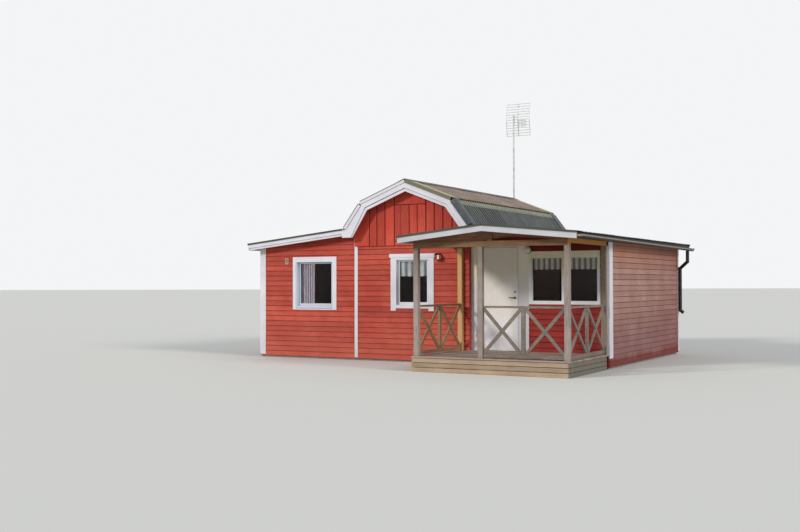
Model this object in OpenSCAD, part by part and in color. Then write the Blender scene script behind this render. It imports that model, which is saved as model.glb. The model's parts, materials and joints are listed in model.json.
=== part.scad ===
/* [Plan] */
// Width of the gambrel section
gable_w = 2633; // [2400:1:2900]
// Width of the left wing
left_wing_w = 2454; // [2100:1:3000]
// Wall at the right end, beyond the porch window
right_end_w = 154; // [130:1:500]
// Depth of the house between its outer faces
house_d = 5022; // [4200:1:6500]
// Setback of the porch wall behind the front
porch_setback = 110; // [60:1:112]
// Thickness of the outer walls
wall_t = 120; // [115:1:180]
// Width of the carrying beams over the inner openings
beam_t = 100; // [70:1:160]

/* [Heights] */
// Lower edge of the wall boarding above the ground
cladding_z = 40; // [25:1:90]
// Top of the floor and of the porch platform
floor_z = 280; // [240:1:310]
// Thickness of the floor
floor_t = 120; // [80:1:150]
// Lower edge of the board-and-batten gable panel
panel_z = 2370; // [2340:1:2420]
// How far the gable panel stands proud of the wall
panel_proud = 30; // [15:1:45]

/* [Gambrel roof] */
// Height of the ridge, top of the roof boards
ridge_z = 3622; // [3500:1:3800]
// Height of the knee between the two slopes
knee_z = 3235; // [3150:1:3340]
// Height of the foot of the lower slope
foot_z = 2735; // [2725:1:2760]
// Knee to the centre line
knee_half = 1000; // [950:1:1040]
// Foot to the centre line beyond the wall line
foot_overhang = 63; // [50:1:80]
// Thickness of the gambrel roof boards and rafters
gambrel_t = 60; // [40:1:80]
// Front and rear overhang
verge = 254; // [180:1:320]
// Width of the bargeboards
barge_w = 160; // [130:1:180]
// Width of the narrow outer bargeboard
barge_cap_w = 95; // [60:1:120]
// Reach of the left bargeboard's foot over the wing's fascia
barge_foot = 173; // [120:1:230]
// Lower end of that foot
barge_foot_z = 2547; // [2500:1:2580]
// Thickness of trim boards
board_t = 22; // [18:1:28]

/* [Wing roofs] */
// Overhang of the left eave
left_overhang = 154; // [110:1:220]
// Height of the left eave, top of the roof boards
left_eave_z = 2445; // [2430:1:2455]
// Rise of the left wing roof towards the gambrel
left_rise = 277; // [265:1:285]
// Overhang of the right eave
right_overhang = 206; // [150:1:260]
// Height of the right eave, top of the roof boards
right_eave_z = 2430; // [2400:1:2440]
// Rise of the right wing roof towards the gambrel
right_rise = 288; // [270:1:300]
// Thickness of the wing roof boards and rafters
wing_t = 95; // [70:1:110]
// Depth of the raking fascias of the left wing
wing_fascia_h = 120; // [100:1:150]
// Depth of the narrow outer boards on them
wing_cap_h = 74; // [50:1:90]
// Depth of the board behind the gutter
eave_board_h = 98; // [96:1:130]

/* [Roof sheets] */
// Height of the corrugated sheets, crest to underside
sheet_h = 28; // [18:1:34]
// Thickness of the sheets
wave_t = 4; // [3:0.5:6]
// Length of one wave
wave_l = 110; // [80:1:180]
// Height of the battens under the gambrel's sheets
batten_t = 42; // [25:1:50]
// Width of the flat flashings along the verges
flash_w = 280; // [200:1:330]
// Thickness of the flashings
flash_t = 3; // [2:0.5:4]
// Length of the upper row of sheets on the lower slope, below the knee
row_l = 155; // [120:1:260]
// How far the sheets reach past the trim
sheet_lip = 12; // [5:1:20]
// How far the upper sheets reach past the knee
knee_lip = 90; // [70:1:110]

/* [Porch] */
// Front face of the posts to the house front
porch_d = 1902; // [1600:1:2300]
// Reach of the porch roof past the posts
porch_overhang = 280; // [200:1:340]
// Width of the posts
post_w = 90; // [75:1:110]
// Centre of the left posts, inside the corner of the gambrel section
left_post_in = 171; // [130:1:200]
// Centre of the middle post, from the corner of the gambrel section
mid_post_out = 1108; // [980:1:1200]
// Centre of the right posts, inside the right wall face
right_post_in = 74; // [60:1:85]
// Ridge of the porch roof, from the corner of the gambrel section
porch_ridge_out = 1263; // [1130:1:1400]
// Height of the left porch eave, top of the roof boards
porch_eave_z = 2420; // [2400:1:2432]
// Left end of the porch roof, inside the corner of the gambrel section
porch_eave_in = 397; // [340:1:450]
// Thickness of the porch roof boards
porch_roof_t = 60; // [45:1:70]
// Depth of the porch fascia
porch_fascia_h = 100; // [85:1:120]
// Underside of the porch beams
beam_z = 2235; // [2180:1:2245]
// Height of the porch beams
beam_h = 100; // [80:1:105]
// Underside of the side beams above that of the front beam
side_beam_rise = 45; // [0:1:60]
// Thickness of the platform boards
deck_t = 28; // [22:1:34]
// Reach of the platform past the posts
platform_lip = 48; // [30:1:80]

/* [Railings] */
// Top of the hand rail
rail_z = 1200; // [1050:1:1300]
// Thickness of the hand rail
rail_t = 38; // [28:1:48]
// Underside of the lower rail
low_rail_z = 300; // [285:1:400]
// Height of the lower rail
low_rail_h = 62; // [45:1:75]
// Thickness of the rails from front to back
rail_d = 45; // [36:1:60]
// Width of the crossed braces
brace_w = 56; // [40:1:70]
// Thickness of the crossed braces
brace_t = 28; // [20:1:34]
// Width of the newels between the bays
newel_w = 68; // [50:1:80]

/* [Door] */
// Left edge of the leaf, from the corner of the gambrel section
leaf_in = 124; // [112:1:150]
// Width of the leaf
leaf_w = 864; // [800:1:900]
// Height of the leaf
leaf_h = 2000; // [1950:1:2010]
// Thickness of the leaf
leaf_t = 45; // [38:1:50]
// Gap round the leaf
leaf_gap = 7; // [6:1:9]
// Width of the frame on the lock side
frame_w = 105; // [90:1:108]
// Height of the lever above the floor
lever_h = 1036; // [950:1:1100]
// Height of the lock above the lever
lock_rise = 112; // [90:1:130]

/* [Windows] */
// Width of the left window over its casings
left_win_w = 1115; // [1000:1:1300]
// Height of the left window over its casings
left_win_h = 1127; // [1000:1:1170]
// Centre of the left window, from the gambrel section
left_win_x = -1022; // [-1150:1:-900]
// Width of the gable window over its casings
gable_win_w = 992; // [900:1:1060]
// Height of the gable window from the casing ears to the head
gable_win_h = 1082; // [1000:1:1170]
// Centre of the gable window, right of the middle
gable_win_off = 37.5; // [-20:0.5:80]
// Width of the porch window
porch_win_w = 1421; // [1380:1:1430]
// Height of the porch window
porch_win_h = 1007; // [900:1:1015]
// Underside of the porch window
porch_win_z = 1192; // [1150:1:1200]
// Underside of the window casings
casing_z = 1040; // [1010:1:1080]
// Width of the side casings
casing_w = 100; // [80:1:115]
// Width of the sash round the glass
sash_w = 50; // [36:1:60]
// Face of the sash behind the wall face
sash_set = 38; // [10:1:42]
// Glass behind the wall face
glass_set = 55; // [45:1:70]
// Thickness of the glass
glass_t = 6; // [4:1:10]

/* [Rainwater and aerial] */
// Outer radius of the gutter and its height
gutter_r = 60; // [50:1:66]
// Wall of the gutter
gutter_t = 4; // [3:1:6]
// Fall of the gutter from the porch to the downpipe
gutter_fall = 40; // [15:1:45]
// Diameter of the downpipe
pipe_d = 75; // [65:1:80]
// Lower end of the downpipe
pipe_end_z = 980; // [700:1:1200]
// Top of the aerial mast
mast_z = 5765; // [5000:1:6000]
// Diameter of the aerial mast
mast_d = 38; // [30:1:48]
// Width of the aerial's reflector
reflector_w = 615; // [500:1:800]
// Height of the aerial's reflector
reflector_h = 786; // [600:1:820]

/* [Hidden] */

// Straight lines in the cross section, z as a function of x
function line_z(a, b, x) = a[1] + (b[1] - a[1]) * (x - a[0]) / (b[0] - a[0]);
function cross2(a, b) = a[0] * b[1] - a[1] * b[0];
// Point where the lines a-b and c-d meet
function meet(a, b, c, d) = a + (b - a) * cross2(c - a, d - c) / cross2(b - a, d - c);
// The line a-b moved square to itself, to the left of its direction
function shift(a, b, t) = let (n = [a[1] - b[1], b[0] - a[0]] / norm(b - a)) [a + n * t, b + n * t];

// Play between two pieces that lie on a slope
seat = 0.2;

mid_x = gable_w / 2;
gable_win_x = mid_x + gable_win_off;
left_x = -left_wing_w;

// Along the porch wall: the door's frame, its casing, the window and the end of the right wing
casing_gap_w = 111;
leaf_x = gable_w + leaf_in;
door_x0 = gable_w;
door_x1 = leaf_x + leaf_w + leaf_gap + frame_w;
porch_win_x0 = door_x1 + casing_gap_w;
porch_win_x = porch_win_x0 + porch_win_w / 2;
right_x = porch_win_x0 + porch_win_w + right_end_w;

// The porch's posts and the ends of its roof
left_post_x = gable_w - left_post_in;
mid_post_x = gable_w + mid_post_out;
right_post_x = right_x - right_post_in;
porch_ridge_x = gable_w + porch_ridge_out;
porch_eave_x = gable_w - porch_eave_in;

left_eave_x = left_x - left_overhang;
right_eave_x = right_x + right_overhang;
verge_y = -verge;
rear_y = house_d + verge;
porch_front_y = -porch_d - porch_overhang;

// Tops of the roof boards: left wing, right wing, left porch slope
lw = [[left_eave_x, left_eave_z], [0, left_eave_z + left_rise]];
rw = [[gable_w, right_eave_z + right_rise], [right_eave_x, right_eave_z]];
porch_ridge = [porch_ridge_x, line_z(rw[0], rw[1], porch_ridge_x)];
pl = [[porch_eave_x, porch_eave_z], porch_ridge];
function lw_z(x) = line_z(lw[0], lw[1], x);
function rw_z(x) = line_z(rw[0], rw[1], x);
function pl_z(x) = line_z(pl[0], pl[1], x);

// The left half of the gambrel, from the foot up to the ridge
ridge = [mid_x, ridge_z];
knee = [mid_x - knee_half, knee_z];
foot = [-foot_overhang, foot_z];
upper_in = shift(knee, ridge, -gambrel_t);
lower_in = shift(foot, knee, -gambrel_t);
upper_seat = shift(knee, ridge, batten_t + seat);
lower_seat = shift(foot, knee, batten_t + seat);
knee_in = meet(upper_in[0], upper_in[1], lower_in[0], lower_in[1]);
ridge_in = [mid_x, line_z(upper_in[0], upper_in[1], mid_x)];
upper_dir = (ridge - knee) / norm(ridge - knee);
lower_dir = (knee - foot) / norm(knee - foot);

origin_x = (left_eave_x - sheet_lip + right_eave_x + 2 * gutter_r) / 2;
porch_edge_y = porch_front_y - sheet_lip;
mast_y = rear_y + sheet_lip + 4 + mast_d / 2;
reflector_y = mast_y + mast_d / 2;
rod_d = 12;
boom_d = 20;
reflector_lean = 60;
reflector_back = boom_d / 2 * cos(atan(2 * reflector_lean / reflector_h));
origin_y = (porch_edge_y + reflector_y + boom_d / 2 + reflector_lean + reflector_back) / 2;

// Roof: overlaps, laps and cap
deck_y0 = verge_y + 2 * board_t;
deck_y1 = rear_y - 2 * board_t;
row_y0 = deck_y0 + seat;
row_y1 = deck_y1 - seat;
wall_play = 4;
sheet_y0 = verge_y - sheet_lip;
sheet_y1 = rear_y + sheet_lip;
porch_deck_y0 = porch_front_y + board_t;
right_notch = foot_overhang + 20;
ridge_gap = 4;
row_lap = 90;
lap_play = 1;
cap_w = 150;
cap_t = 6;
batten_w = 50;
cover_h = sheet_h + 3 * seat;
left_cover = [[left_eave_x, left_eave_z + cover_h], [0, lw_z(0) + cover_h]];
right_cover = [[0, rw_z(gable_w) + cover_h], [gable_w - right_eave_x, right_eave_z + cover_h]];

// Corner boards
corner_w = 147;
mid_corner_w = 75;
mid_corner_lap = 10;
corner_z = cladding_z + 20;
side_corner_w = 200;
side_corner_z = 200;
rear_corner_w = 50;

// Window openings, lined with thin boards; the sash's rails above and below the glass
lining_t = 12;
sash_low_rail = 67;
sash_top_rail = 45;
left_sill_h = 66;
left_hole_w = left_win_w - 2 * casing_w;
left_hole_z0 = casing_z + left_sill_h;
left_hole_z1 = casing_z + left_win_h - casing_w;
gable_casing_w = 118;
gable_ear = 50;
gable_sill_h = 58;
gable_head_lap = 34;
gable_hole_w = gable_win_w - 2 * gable_casing_w;
gable_hole_z0 = casing_z + gable_ear + gable_sill_h;
gable_hole_z1 = casing_z + gable_win_h - gable_head_lap;
curtain_t = 16;
curtain_gap = 12;
curtain_edge = 10;
valance_h = 350;
porch_valance_h = 215;

// The loft hatch in the gable panel
hatch_w = 667;
hatch_h = 760;
hatch_rise = 70;
hatch_gap = 4;
hatch_x0 = mid_x - hatch_w / 2;
hatch_z0 = panel_z + hatch_rise;

// The door, its frame and its hinges
threshold_h = 40;
head_h = 60;
porch_wall_y1 = porch_setback + wall_t;
jamb_y0 = porch_setback - board_t;
leaf_y = jamb_y0;
leaf_z = floor_z + leaf_gap;
frame_z = leaf_z + leaf_h + leaf_gap + head_h;
stop_w = 10;
hinge_d = 14;
hinge_pin_d = 7;
hinge_play = 0.3;
hinge_leaf_t = 3;
hinge_leaf_w = 30;
hinge_len = 90;
hinge_inset = 250;
hinge_x = leaf_x - 3;
hinge_y = jamb_y0 - hinge_d / 2 - 1;

// The porch window's mullion and stiles
porch_mullion_w = 90;
porch_stile_w = 60;
porch_bottom_h = 66;
porch_top_h = 131;

// The porch
platform_side = 31;
platform_x0 = left_post_x - post_w / 2 - platform_side;
platform_x1 = right_post_x + post_w / 2 + platform_side;
platform_y0 = -porch_d - platform_lip;
joist_w = 45;
joist_bays = 6;
post_y = -porch_d + post_w / 2;
half_post_t = 90;
beam_top = beam_z + beam_h;
side_beam_z = beam_z + side_beam_rise;
king_w = 95;
king_x = porch_ridge_x - 20;
rafter_h = 70;
rafter_inset = 10;

// Gutter and downpipe: an outlet under the gutter, a slanted neck back to the wall, a straight run
gutter_x = right_eave_x + gutter_r;
gutter_drop = 25;
gutter_z = right_eave_z - gutter_drop;
gutter_end = 5;
gutter_y0 = porch_front_y - gutter_end;
gutter_l = rear_y + gutter_end - gutter_y0;
gutter_tilt = atan(gutter_fall / gutter_l);
outlet_in = 165;
outlet_y = house_d - outlet_in;
outlet_z = gutter_z - gutter_r - (outlet_y + pipe_d / 2 - gutter_y0) * tan(gutter_tilt) - seat;
neck_drop = 240;
neck_h = 150;
neck_top_z = outlet_z - neck_drop;
neck_end_z = neck_top_z - neck_h;
pipe_gap = 4;
pipe_in = 20;
pipe_x = right_x + board_t + pipe_gap + pipe_d / 2;
pipe_y = house_d - pipe_in;
elbow_rim = 2;
pipe_clip_h = 30;
shoe_l = 90;
shoe_angle = 50;

color_wall = "firebrick";
color_trim = "whitesmoke";
color_roof = "dimgray";
color_wood = "rosybrown";
color_metal = "darkslategray";

module placed() {
    translate([-origin_x, -origin_y, 0]) children();
}

// A cross section in x and z, drawn out along y
module along_y(y0, y1, points) {
    translate([0, y1, 0]) rotate([90, 0, 0]) linear_extrude(y1 - y0) polygon(points);
}

module block(x0, x1, y0, y1, z0, z1) {
    translate([x0, y0, z0]) cube([x1 - x0, y1 - y0, z1 - z0]);
}

// A piece from x0 to x1 whose top follows the underside of roof boards t thick over the line r
module under_roof(r, t, x0, x1, y0, y1, z0)
    along_y(y0, y1, [[x0, z0], [x1, z0], [x1, line_z(r[0], r[1], x1) - t - seat],
        [x0, line_z(r[0], r[1], x0) - t - seat]]);

// Repeats what stands on the left half of the gambrel on its right half too
module both_halves() {
    children();
    translate([gable_w, 0, 0]) mirror([1, 0, 0]) children();
}

// A cross section of points across y and square to a slope, drawn out along it from a to b
module up_slope(a, b, points)
    translate([a[0], 0, a[1]]) rotate([0, -atan2(b[1] - a[1], b[0] - a[0]), 0]) rotate([90, 0, 90])
        linear_extrude(norm(b - a)) polygon(points);

// One face of a corrugated sheet, from trough to trough
wave_steps = 6;
function waves(y0, y1, lift) = let (n = wave_steps * round((y1 - y0) / wave_l))
    [for (i = [0 : n]) [y0 + (y1 - y0) * i / n, lift + (sheet_h - wave_t) * (1 - cos(360 / wave_steps * i)) / 2]];

// A row of corrugated sheets that lies on the line a-b
module sheets(a, b, y0, y1, lift = 0) {
    under = waves(y0, y1, lift);
    up_slope(a, b, concat(under, [for (i = [len(under) - 1 : -1 : 0]) under[i] + [0, wave_t]]));
}

// A flat flashing on the crests along the verge y, with a leg down past the board; s is the house side
module flashing(a, b, y, s, leg, lift = 0) {
    top = sheet_h + seat + lift;
    up_slope(a, b, [[y, -leg], [y + s * flash_t, -leg], [y + s * flash_t, top], [y + s * flash_w, top],
        [y + s * flash_w, top + flash_t], [y, top + flash_t]]);
}

// A board under the line a-b from x0 to x1, h deep
function band(a, b, x0, x1, h) = [[x0, line_z(a, b, x0) - h], [x1, line_z(a, b, x1) - h],
    [x1, line_z(a, b, x1)], [x0, line_z(a, b, x0)]];
// The point of the line a-b above x, where sheets lie
function on_line(a, b, x) = [x, line_z(a, b, x) + seat];

// The base's face behind the wall boarding
base_inset = 25;

module foundation() placed() color("gray") {
    rear_face = house_d - base_inset;
    difference() {
        union() {
            block(left_x + base_inset, gable_w, base_inset, rear_face, 0, cladding_z);
            block(gable_w, right_x - base_inset, porch_setback + base_inset, rear_face, 0, cladding_z);
        }
        block(left_x + wall_t, gable_w, wall_t, house_d - wall_t, -1, cladding_z + 1);
        block(gable_w - 1, right_x - wall_t, porch_setback + wall_t, house_d - wall_t, -1, cladding_z + 1);
    }
    for (x = [0, gable_w - beam_t])
        block(x, x + beam_t, wall_t, house_d - wall_t, 0, floor_z - floor_t);
}

module floor_plan() {
    polygon([[left_x + wall_t, wall_t], [gable_w, wall_t], [gable_w, porch_setback + wall_t],
        [right_x - wall_t, porch_setback + wall_t], [right_x - wall_t, house_d - wall_t],
        [left_x + wall_t, house_d - wall_t]]);
}

module floor() placed() color("burlywood")
    translate([0, 0, floor_z - floor_t]) linear_extrude(floor_t) floor_plan();

module porch_platform() placed() color(color_wood) {
    difference() {
        union() {
            block(platform_x0, platform_x1, platform_y0, 0, 0, floor_z);
            block(gable_w, platform_x1, -1, porch_setback, 0, floor_z);
        }
        for (i = [0 : joist_bays - 1]) {
            step = (platform_x1 - platform_x0 - joist_w) / joist_bays;
            x = platform_x0 + joist_w + i * step;
            block(x, x + step - joist_w, platform_y0 + joist_w, -joist_w, -1, floor_z - deck_t);
        }
        block(right_x, platform_x1 + 1, 0, porch_setback + 1, -1, floor_z + 1);
    }
}

module left_wing_front_wall() placed() color(color_wall)
    difference() {
        under_roof(lw, wing_t, left_x, 0, 0, wall_t, cladding_z);
        window_hole(left_win_x, left_hole_w, left_hole_z0, left_hole_z1, 0);
    }

module left_wing_side_wall() placed() color(color_wall)
    under_roof(lw, wing_t, left_x, left_x + wall_t, wall_t, house_d - wall_t, cladding_z);

module window_hole(x, w, z0, z1, y) {
    block(x - w / 2, x + w / 2, y - 1, y + wall_t + 1, z0, z1);
}

module gable_wall(y) difference() {
    block(0, gable_w, y, y + wall_t, cladding_z, panel_z);
    window_hole(gable_win_x, gable_hole_w, gable_hole_z0, gable_hole_z1, y);
}

module gable_front_wall() placed() color(color_wall) gable_wall(0);

// The gable above the walls, a little below the roof boards
function lower_under(x) = line_z(lower_in[0], lower_in[1], x) - 2 * seat;
gable_knee = knee_in - [0, 2 * seat];
gable_outline = [[0, panel_z], [gable_w, panel_z], [gable_w, lower_under(0)], [gable_w - gable_knee[0], gable_knee[1]],
    ridge_in - [0, 2 * seat], gable_knee, [0, lower_under(0)]];

module gable_front_panel() placed() color(color_wall)
    difference() {
        along_y(-panel_proud, wall_t, gable_outline);
        block(hatch_x0, hatch_x0 + hatch_w, -panel_proud - 1, wall_t + 1, hatch_z0, hatch_z0 + hatch_h);
    }

module loft_hatch() placed() color("red")
    block(hatch_x0 + hatch_gap, hatch_x0 + hatch_w - hatch_gap, -panel_proud, board_t,
        hatch_z0, hatch_z0 + hatch_h - hatch_gap);

module porch_wall(x0, x1, z0)
    under_roof(rw, wing_t, x0, x1, porch_setback, porch_wall_y1, z0);

module door_infill_walls() placed() color(color_wall) {
    porch_wall(door_x0, door_x1, frame_z);
    block(door_x0, door_x1, porch_setback, porch_wall_y1, cladding_z, floor_z - threshold_h);
}

module porch_window_wall() placed() color(color_wall)
    difference() {
        porch_wall(door_x1, right_x, cladding_z);
        window_hole(porch_win_x, porch_win_w, porch_win_z, porch_win_z + porch_win_h, porch_setback);
    }

module right_side_wall() placed() color(color_wall)
    under_roof(rw, wing_t, right_x - wall_t, right_x, porch_wall_y1, house_d - wall_t, cladding_z);

module back_wall() placed() color(color_wall) {
    under = wing_t + seat;
    difference() {
        along_y(house_d - wall_t, house_d, [[left_x, cladding_z], [right_x, cladding_z],
            [right_x, rw_z(right_x) - under], [gable_w, rw_z(gable_w) - under], [gable_w, panel_z],
            [0, panel_z], [0, lw_z(0) - under], [left_x, lw_z(left_x) - under]]);
        window_hole(gable_w - gable_win_x, gable_hole_w, gable_hole_z0, gable_hole_z1, house_d - wall_t);
    }
}

module rear_gable_panel() placed() color(color_wall)
    along_y(house_d - wall_t, house_d + panel_proud, gable_outline);

module carrying_beams() placed() color(color_wood)
    both_halves() along_y(wall_t, house_d - wall_t, [[0, panel_z], [beam_t, panel_z],
        [beam_t, lower_under(beam_t)], [0, lower_under(0)]]);

// A batten along y on the line a-b, its middle at a distance from a
module batten(a, b, distance) {
    d = (b - a) / norm(b - a);
    up_slope(a + d * (distance - batten_w / 2), a + d * (distance + batten_w / 2),
        [[row_y0, -lap_play], [row_y1, -lap_play], [row_y1, batten_t], [row_y0, batten_t]]);
}

module gambrel_upper_deck() placed() color(color_wood) {
    along_y(deck_y0, deck_y1, [knee, knee_in, ridge_in, [gable_w - knee_in[0], knee_in[1]],
        [gable_w - knee[0], knee[1]], ridge]);
    l = norm(ridge - knee);
    both_halves() for (distance = [batten_w, l / 2, l - batten_w]) batten(knee, ridge, distance);
}

// The lower slope ends on the sheets of the wing beside it
module lower_deck_half(wing_cover) {
    end = meet(foot, knee, wing_cover[0], wing_cover[1]);
    play = lower_dir * seat;
    along_y(deck_y0, deck_y1, [knee_in - play, knee - play, end, [0, line_z(wing_cover[0], wing_cover[1], 0)],
        [0, line_z(lower_in[0], lower_in[1], 0)]]);
    l = norm(knee - end);
    for (distance = [batten_w * 2, l - batten_w * 2]) batten(end, knee, distance);
}

module gambrel_lower_deck() placed() color(color_wood) {
    lower_deck_half(left_cover);
    translate([gable_w, 0, 0]) mirror([1, 0, 0]) lower_deck_half(right_cover);
}

sheet_top = [mid_x - ridge_gap, line_z(upper_seat[0], upper_seat[1], mid_x - ridge_gap)];
sheet_foot = upper_seat[0] - upper_dir * knee_lip;

module gambrel_upper_sheets() placed() color(color_roof)
    both_halves() sheets(sheet_foot, sheet_top, row_y0, row_y1);

// Where a layer on the lower slope, h high, ends below the line a-b of what hangs over the knee
function under_knee(h, a, b) = let (out = shift(lower_seat[0], lower_seat[1], h), q = meet(out[0], out[1], a, b))
    lower_seat[0] + lower_dir * ((q - lower_seat[0]) * lower_dir - lap_play);
function above_wing(wing_cover) =
    meet(lower_seat[0], lower_seat[1], wing_cover[0], wing_cover[1]) + lower_dir * lap_play;

// Two rows, the upper one lapped over the lower one
module lower_sheet_half(wing_cover) {
    top = under_knee(sheet_h + wave_t + seat, upper_seat[0], upper_seat[1]);
    row_end = lower_seat[1] - lower_dir * row_l;
    sheets(above_wing(wing_cover), row_end + lower_dir * row_lap, row_y0, row_y1);
    sheets(row_end, top, row_y0, row_y1, wave_t + seat);
}

module gambrel_lower_sheets() placed() color(color_roof) {
    lower_sheet_half(left_cover);
    translate([gable_w, 0, 0]) mirror([1, 0, 0]) lower_sheet_half(right_cover);
}

// A folded cap over a ridge, from the point a on one slope over the ridge r to b on the other
module cap(a, r, b, y0, y1)
    along_y(y0, y1, [for (p = [a, r, b]) p + [0, seat], for (p = [b, r, a]) p + [0, cap_t]]);

// The caps lie on the flashings, the flashings on the crests of the sheets
module ridge_caps() placed() color(color_roof) {
    rise = sheet_h + 2 * seat + flash_t;
    l = shift(knee, ridge, batten_t + rise);
    r = [mid_x, line_z(l[0], l[1], mid_x)];
    half = [cap_w, r[1] - line_z(l[0], l[1], mid_x - cap_w)];
    cap(r - half, r, r + [half[0], -half[1]], sheet_y0, sheet_y1);
    p = porch_ridge + [0, rise];
    cap([p[0] - cap_w, pl_z(p[0] - cap_w) + rise], p, [p[0] + cap_w, rw_z(p[0] + cap_w) + rise],
        porch_edge_y, porch_setback);
}

flash_lip = 30;
flash_leg = 6;
flash_foot = barge_foot - 40;
gambrel_leg = batten_t + seat;

// One half of the gambrel and the wing beside it, at the verge y, whose house side is s
module verge_pair(wing_cover, y, s) {
    lift = wave_t + seat;
    flashing(upper_seat[0] - upper_dir * flash_lip, sheet_top, y, s, gambrel_leg);
    flashing(above_wing(wing_cover), under_knee(sheet_h + flash_t + 2 * lift, upper_seat[0], upper_seat[1]),
        y, s, gambrel_leg, lift);
}

module verge_flashings() placed() color(color_roof) {
    for (v = [[sheet_y0, 1], [sheet_y1, -1]]) {
        verge_pair(left_cover, v[0], v[1]);
        translate([gable_w, 0, 0]) mirror([1, 0, 0]) verge_pair(right_cover, v[0], v[1]);
        flashing(on_line(lw[0], lw[1], left_eave_x - sheet_lip), on_line(lw[0], lw[1], -flash_foot),
            v[0], v[1], flash_leg);
    }
    right_end = on_line(rw[0], rw[1], right_eave_x + sheet_lip);
    flashing(on_line(rw[0], rw[1], gable_w + flash_foot), right_end, sheet_y1, -1, flash_leg);
    flashing(on_line(rw[0], rw[1], porch_ridge_x + ridge_gap), right_end, porch_edge_y, 1, flash_leg);
    flashing(on_line(pl[0], pl[1], porch_eave_x - sheet_lip), on_line(pl[0], pl[1], porch_ridge_x - ridge_gap),
        porch_edge_y, 1, flash_leg);
}

module left_wing_deck() placed() color(color_wood)
    along_y(deck_y0, deck_y1, band(lw[0], lw[1], left_eave_x + board_t, 0, wing_t));

module left_wing_sheets() placed() color(color_roof)
    sheets(on_line(lw[0], lw[1], left_eave_x - sheet_lip), on_line(lw[0], lw[1], -lap_play), row_y0, row_y1);

// The right wing roof runs forward as the right slope of the porch
module right_wing_deck() placed() color(color_wood) {
    x1 = right_eave_x - board_t;
    difference() {
        along_y(porch_setback, rear_y - board_t, band(rw[0], rw[1], gable_w, x1, wing_t));
        block(gable_w - 1, gable_w + right_notch, deck_y1, rear_y, 0, ridge_z);
    }
    along_y(porch_deck_y0, porch_setback, band(rw[0], rw[1], porch_ridge_x, x1, porch_roof_t));
}

module right_wing_sheets() placed() color(color_roof) {
    end = on_line(rw[0], rw[1], right_eave_x + sheet_lip);
    sheets(on_line(rw[0], rw[1], gable_w + lap_play), end, porch_setback, row_y1);
    sheets(on_line(rw[0], rw[1], porch_ridge_x + ridge_gap), end, porch_deck_y0, porch_setback - lap_play);
}

module porch_left_deck() placed() color(color_wood)
    difference() {
        along_y(porch_deck_y0, porch_setback, band(pl[0], pl[1], porch_eave_x + board_t, porch_ridge_x, porch_roof_t));
        block(0, gable_w, -panel_proud, porch_setback + 1, 0, ridge_z);
    }

module porch_left_sheets() placed() color(color_roof) {
    end = on_line(pl[0], pl[1], porch_ridge_x - ridge_gap);
    sheets(on_line(pl[0], pl[1], porch_eave_x - sheet_lip), end, porch_deck_y0, -panel_proud - lap_play);
    sheets(on_line(pl[0], pl[1], gable_w + wall_play), end, -panel_proud, porch_setback);
}

// Bargeboards follow both slopes. The left foot widens to a plate that covers the wing's fascia
module barge(w, toe_x, y0, y1) {
    up = shift(knee, ridge, -w);
    low = shift(foot, knee, -w);
    bend = meet(up[0], up[1], low[0], low[1]);
    top = [mid_x, line_z(up[0], up[1], mid_x)];
    along_y(y0, y1, [[-barge_foot, lw_z(-barge_foot)], [-barge_foot, barge_foot_z], [toe_x, barge_foot_z],
        bend, top, [gable_w - bend[0], bend[1]], [gable_w - low[0][0], low[0][1]], [gable_w - foot[0], foot[1]],
        [gable_w - knee[0], knee[1]], ridge, knee, meet(foot, knee, lw[0], lw[1])]);
}

barge_toe_x = 31;
strip_toe_x = 60;

module bargeboards() placed() color(color_trim) {
    barge(barge_cap_w, barge_toe_x, verge_y, verge_y + board_t);
    barge(barge_w, strip_toe_x, verge_y + board_t, verge_y + 2 * board_t);
    barge(barge_cap_w, barge_toe_x, rear_y - board_t, rear_y);
    barge(barge_w, strip_toe_x, rear_y - 2 * board_t, rear_y - board_t);
}

// A wide board with a narrower one on its outer face, up to the bargeboard's foot
module left_wing_fascias() placed() color(color_trim) {
    x0 = left_eave_x + board_t;
    for (y = [verge_y + board_t, rear_y - 2 * board_t])
        along_y(y, y + board_t, band(lw[0], lw[1], x0, -barge_foot, wing_fascia_h));
    for (y = [verge_y, rear_y - board_t])
        along_y(y, y + board_t, band(lw[0], lw[1], x0, -barge_foot, wing_cap_h));
    along_y(verge_y, rear_y, band(lw[0], lw[1], left_eave_x, x0, wing_fascia_h));
}

module porch_fascia() placed() color(color_trim) {
    h = porch_fascia_h;
    along_y(porch_front_y, porch_front_y + board_t, [[porch_eave_x, pl_z(porch_eave_x) - h],
        porch_ridge - [0, h], [right_eave_x, right_eave_z - h], [right_eave_x, right_eave_z],
        porch_ridge, [porch_eave_x, pl_z(porch_eave_x)]]);
    along_y(porch_front_y + board_t, -panel_proud, band(pl[0], pl[1], porch_eave_x, porch_eave_x + board_t, h));
}

module right_wing_fascias() placed() color(color_metal) {
    along_y(porch_front_y + board_t, rear_y, band(rw[0], rw[1], right_eave_x - board_t, right_eave_x, eave_board_h));
    along_y(rear_y - board_t, rear_y,
        band(rw[0], rw[1], gable_w + right_notch, right_eave_x - board_t, porch_fascia_h));
}

module corner_boards() placed() color(color_trim) {
    y1 = house_d + board_t;
    for (y = [-board_t, house_d])
        under_roof(lw, wing_t, left_x, left_x + corner_w, y, y + board_t, corner_z);
    block(-mid_corner_lap, mid_corner_w - mid_corner_lap, -board_t, 0, corner_z, panel_z);
    under_roof(rw, wing_t, right_x, right_x + board_t, jamb_y0, jamb_y0 + side_corner_w, side_corner_z);
    block(right_post_x + post_w / 2, right_x, jamb_y0, porch_setback, floor_z, side_beam_z);
    under_roof(rw, wing_t, right_x - corner_w, right_x, house_d, y1, corner_z);
    under_roof(rw, wing_t, right_x, right_x + board_t, house_d - rear_corner_w, y1, corner_z);
}

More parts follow.
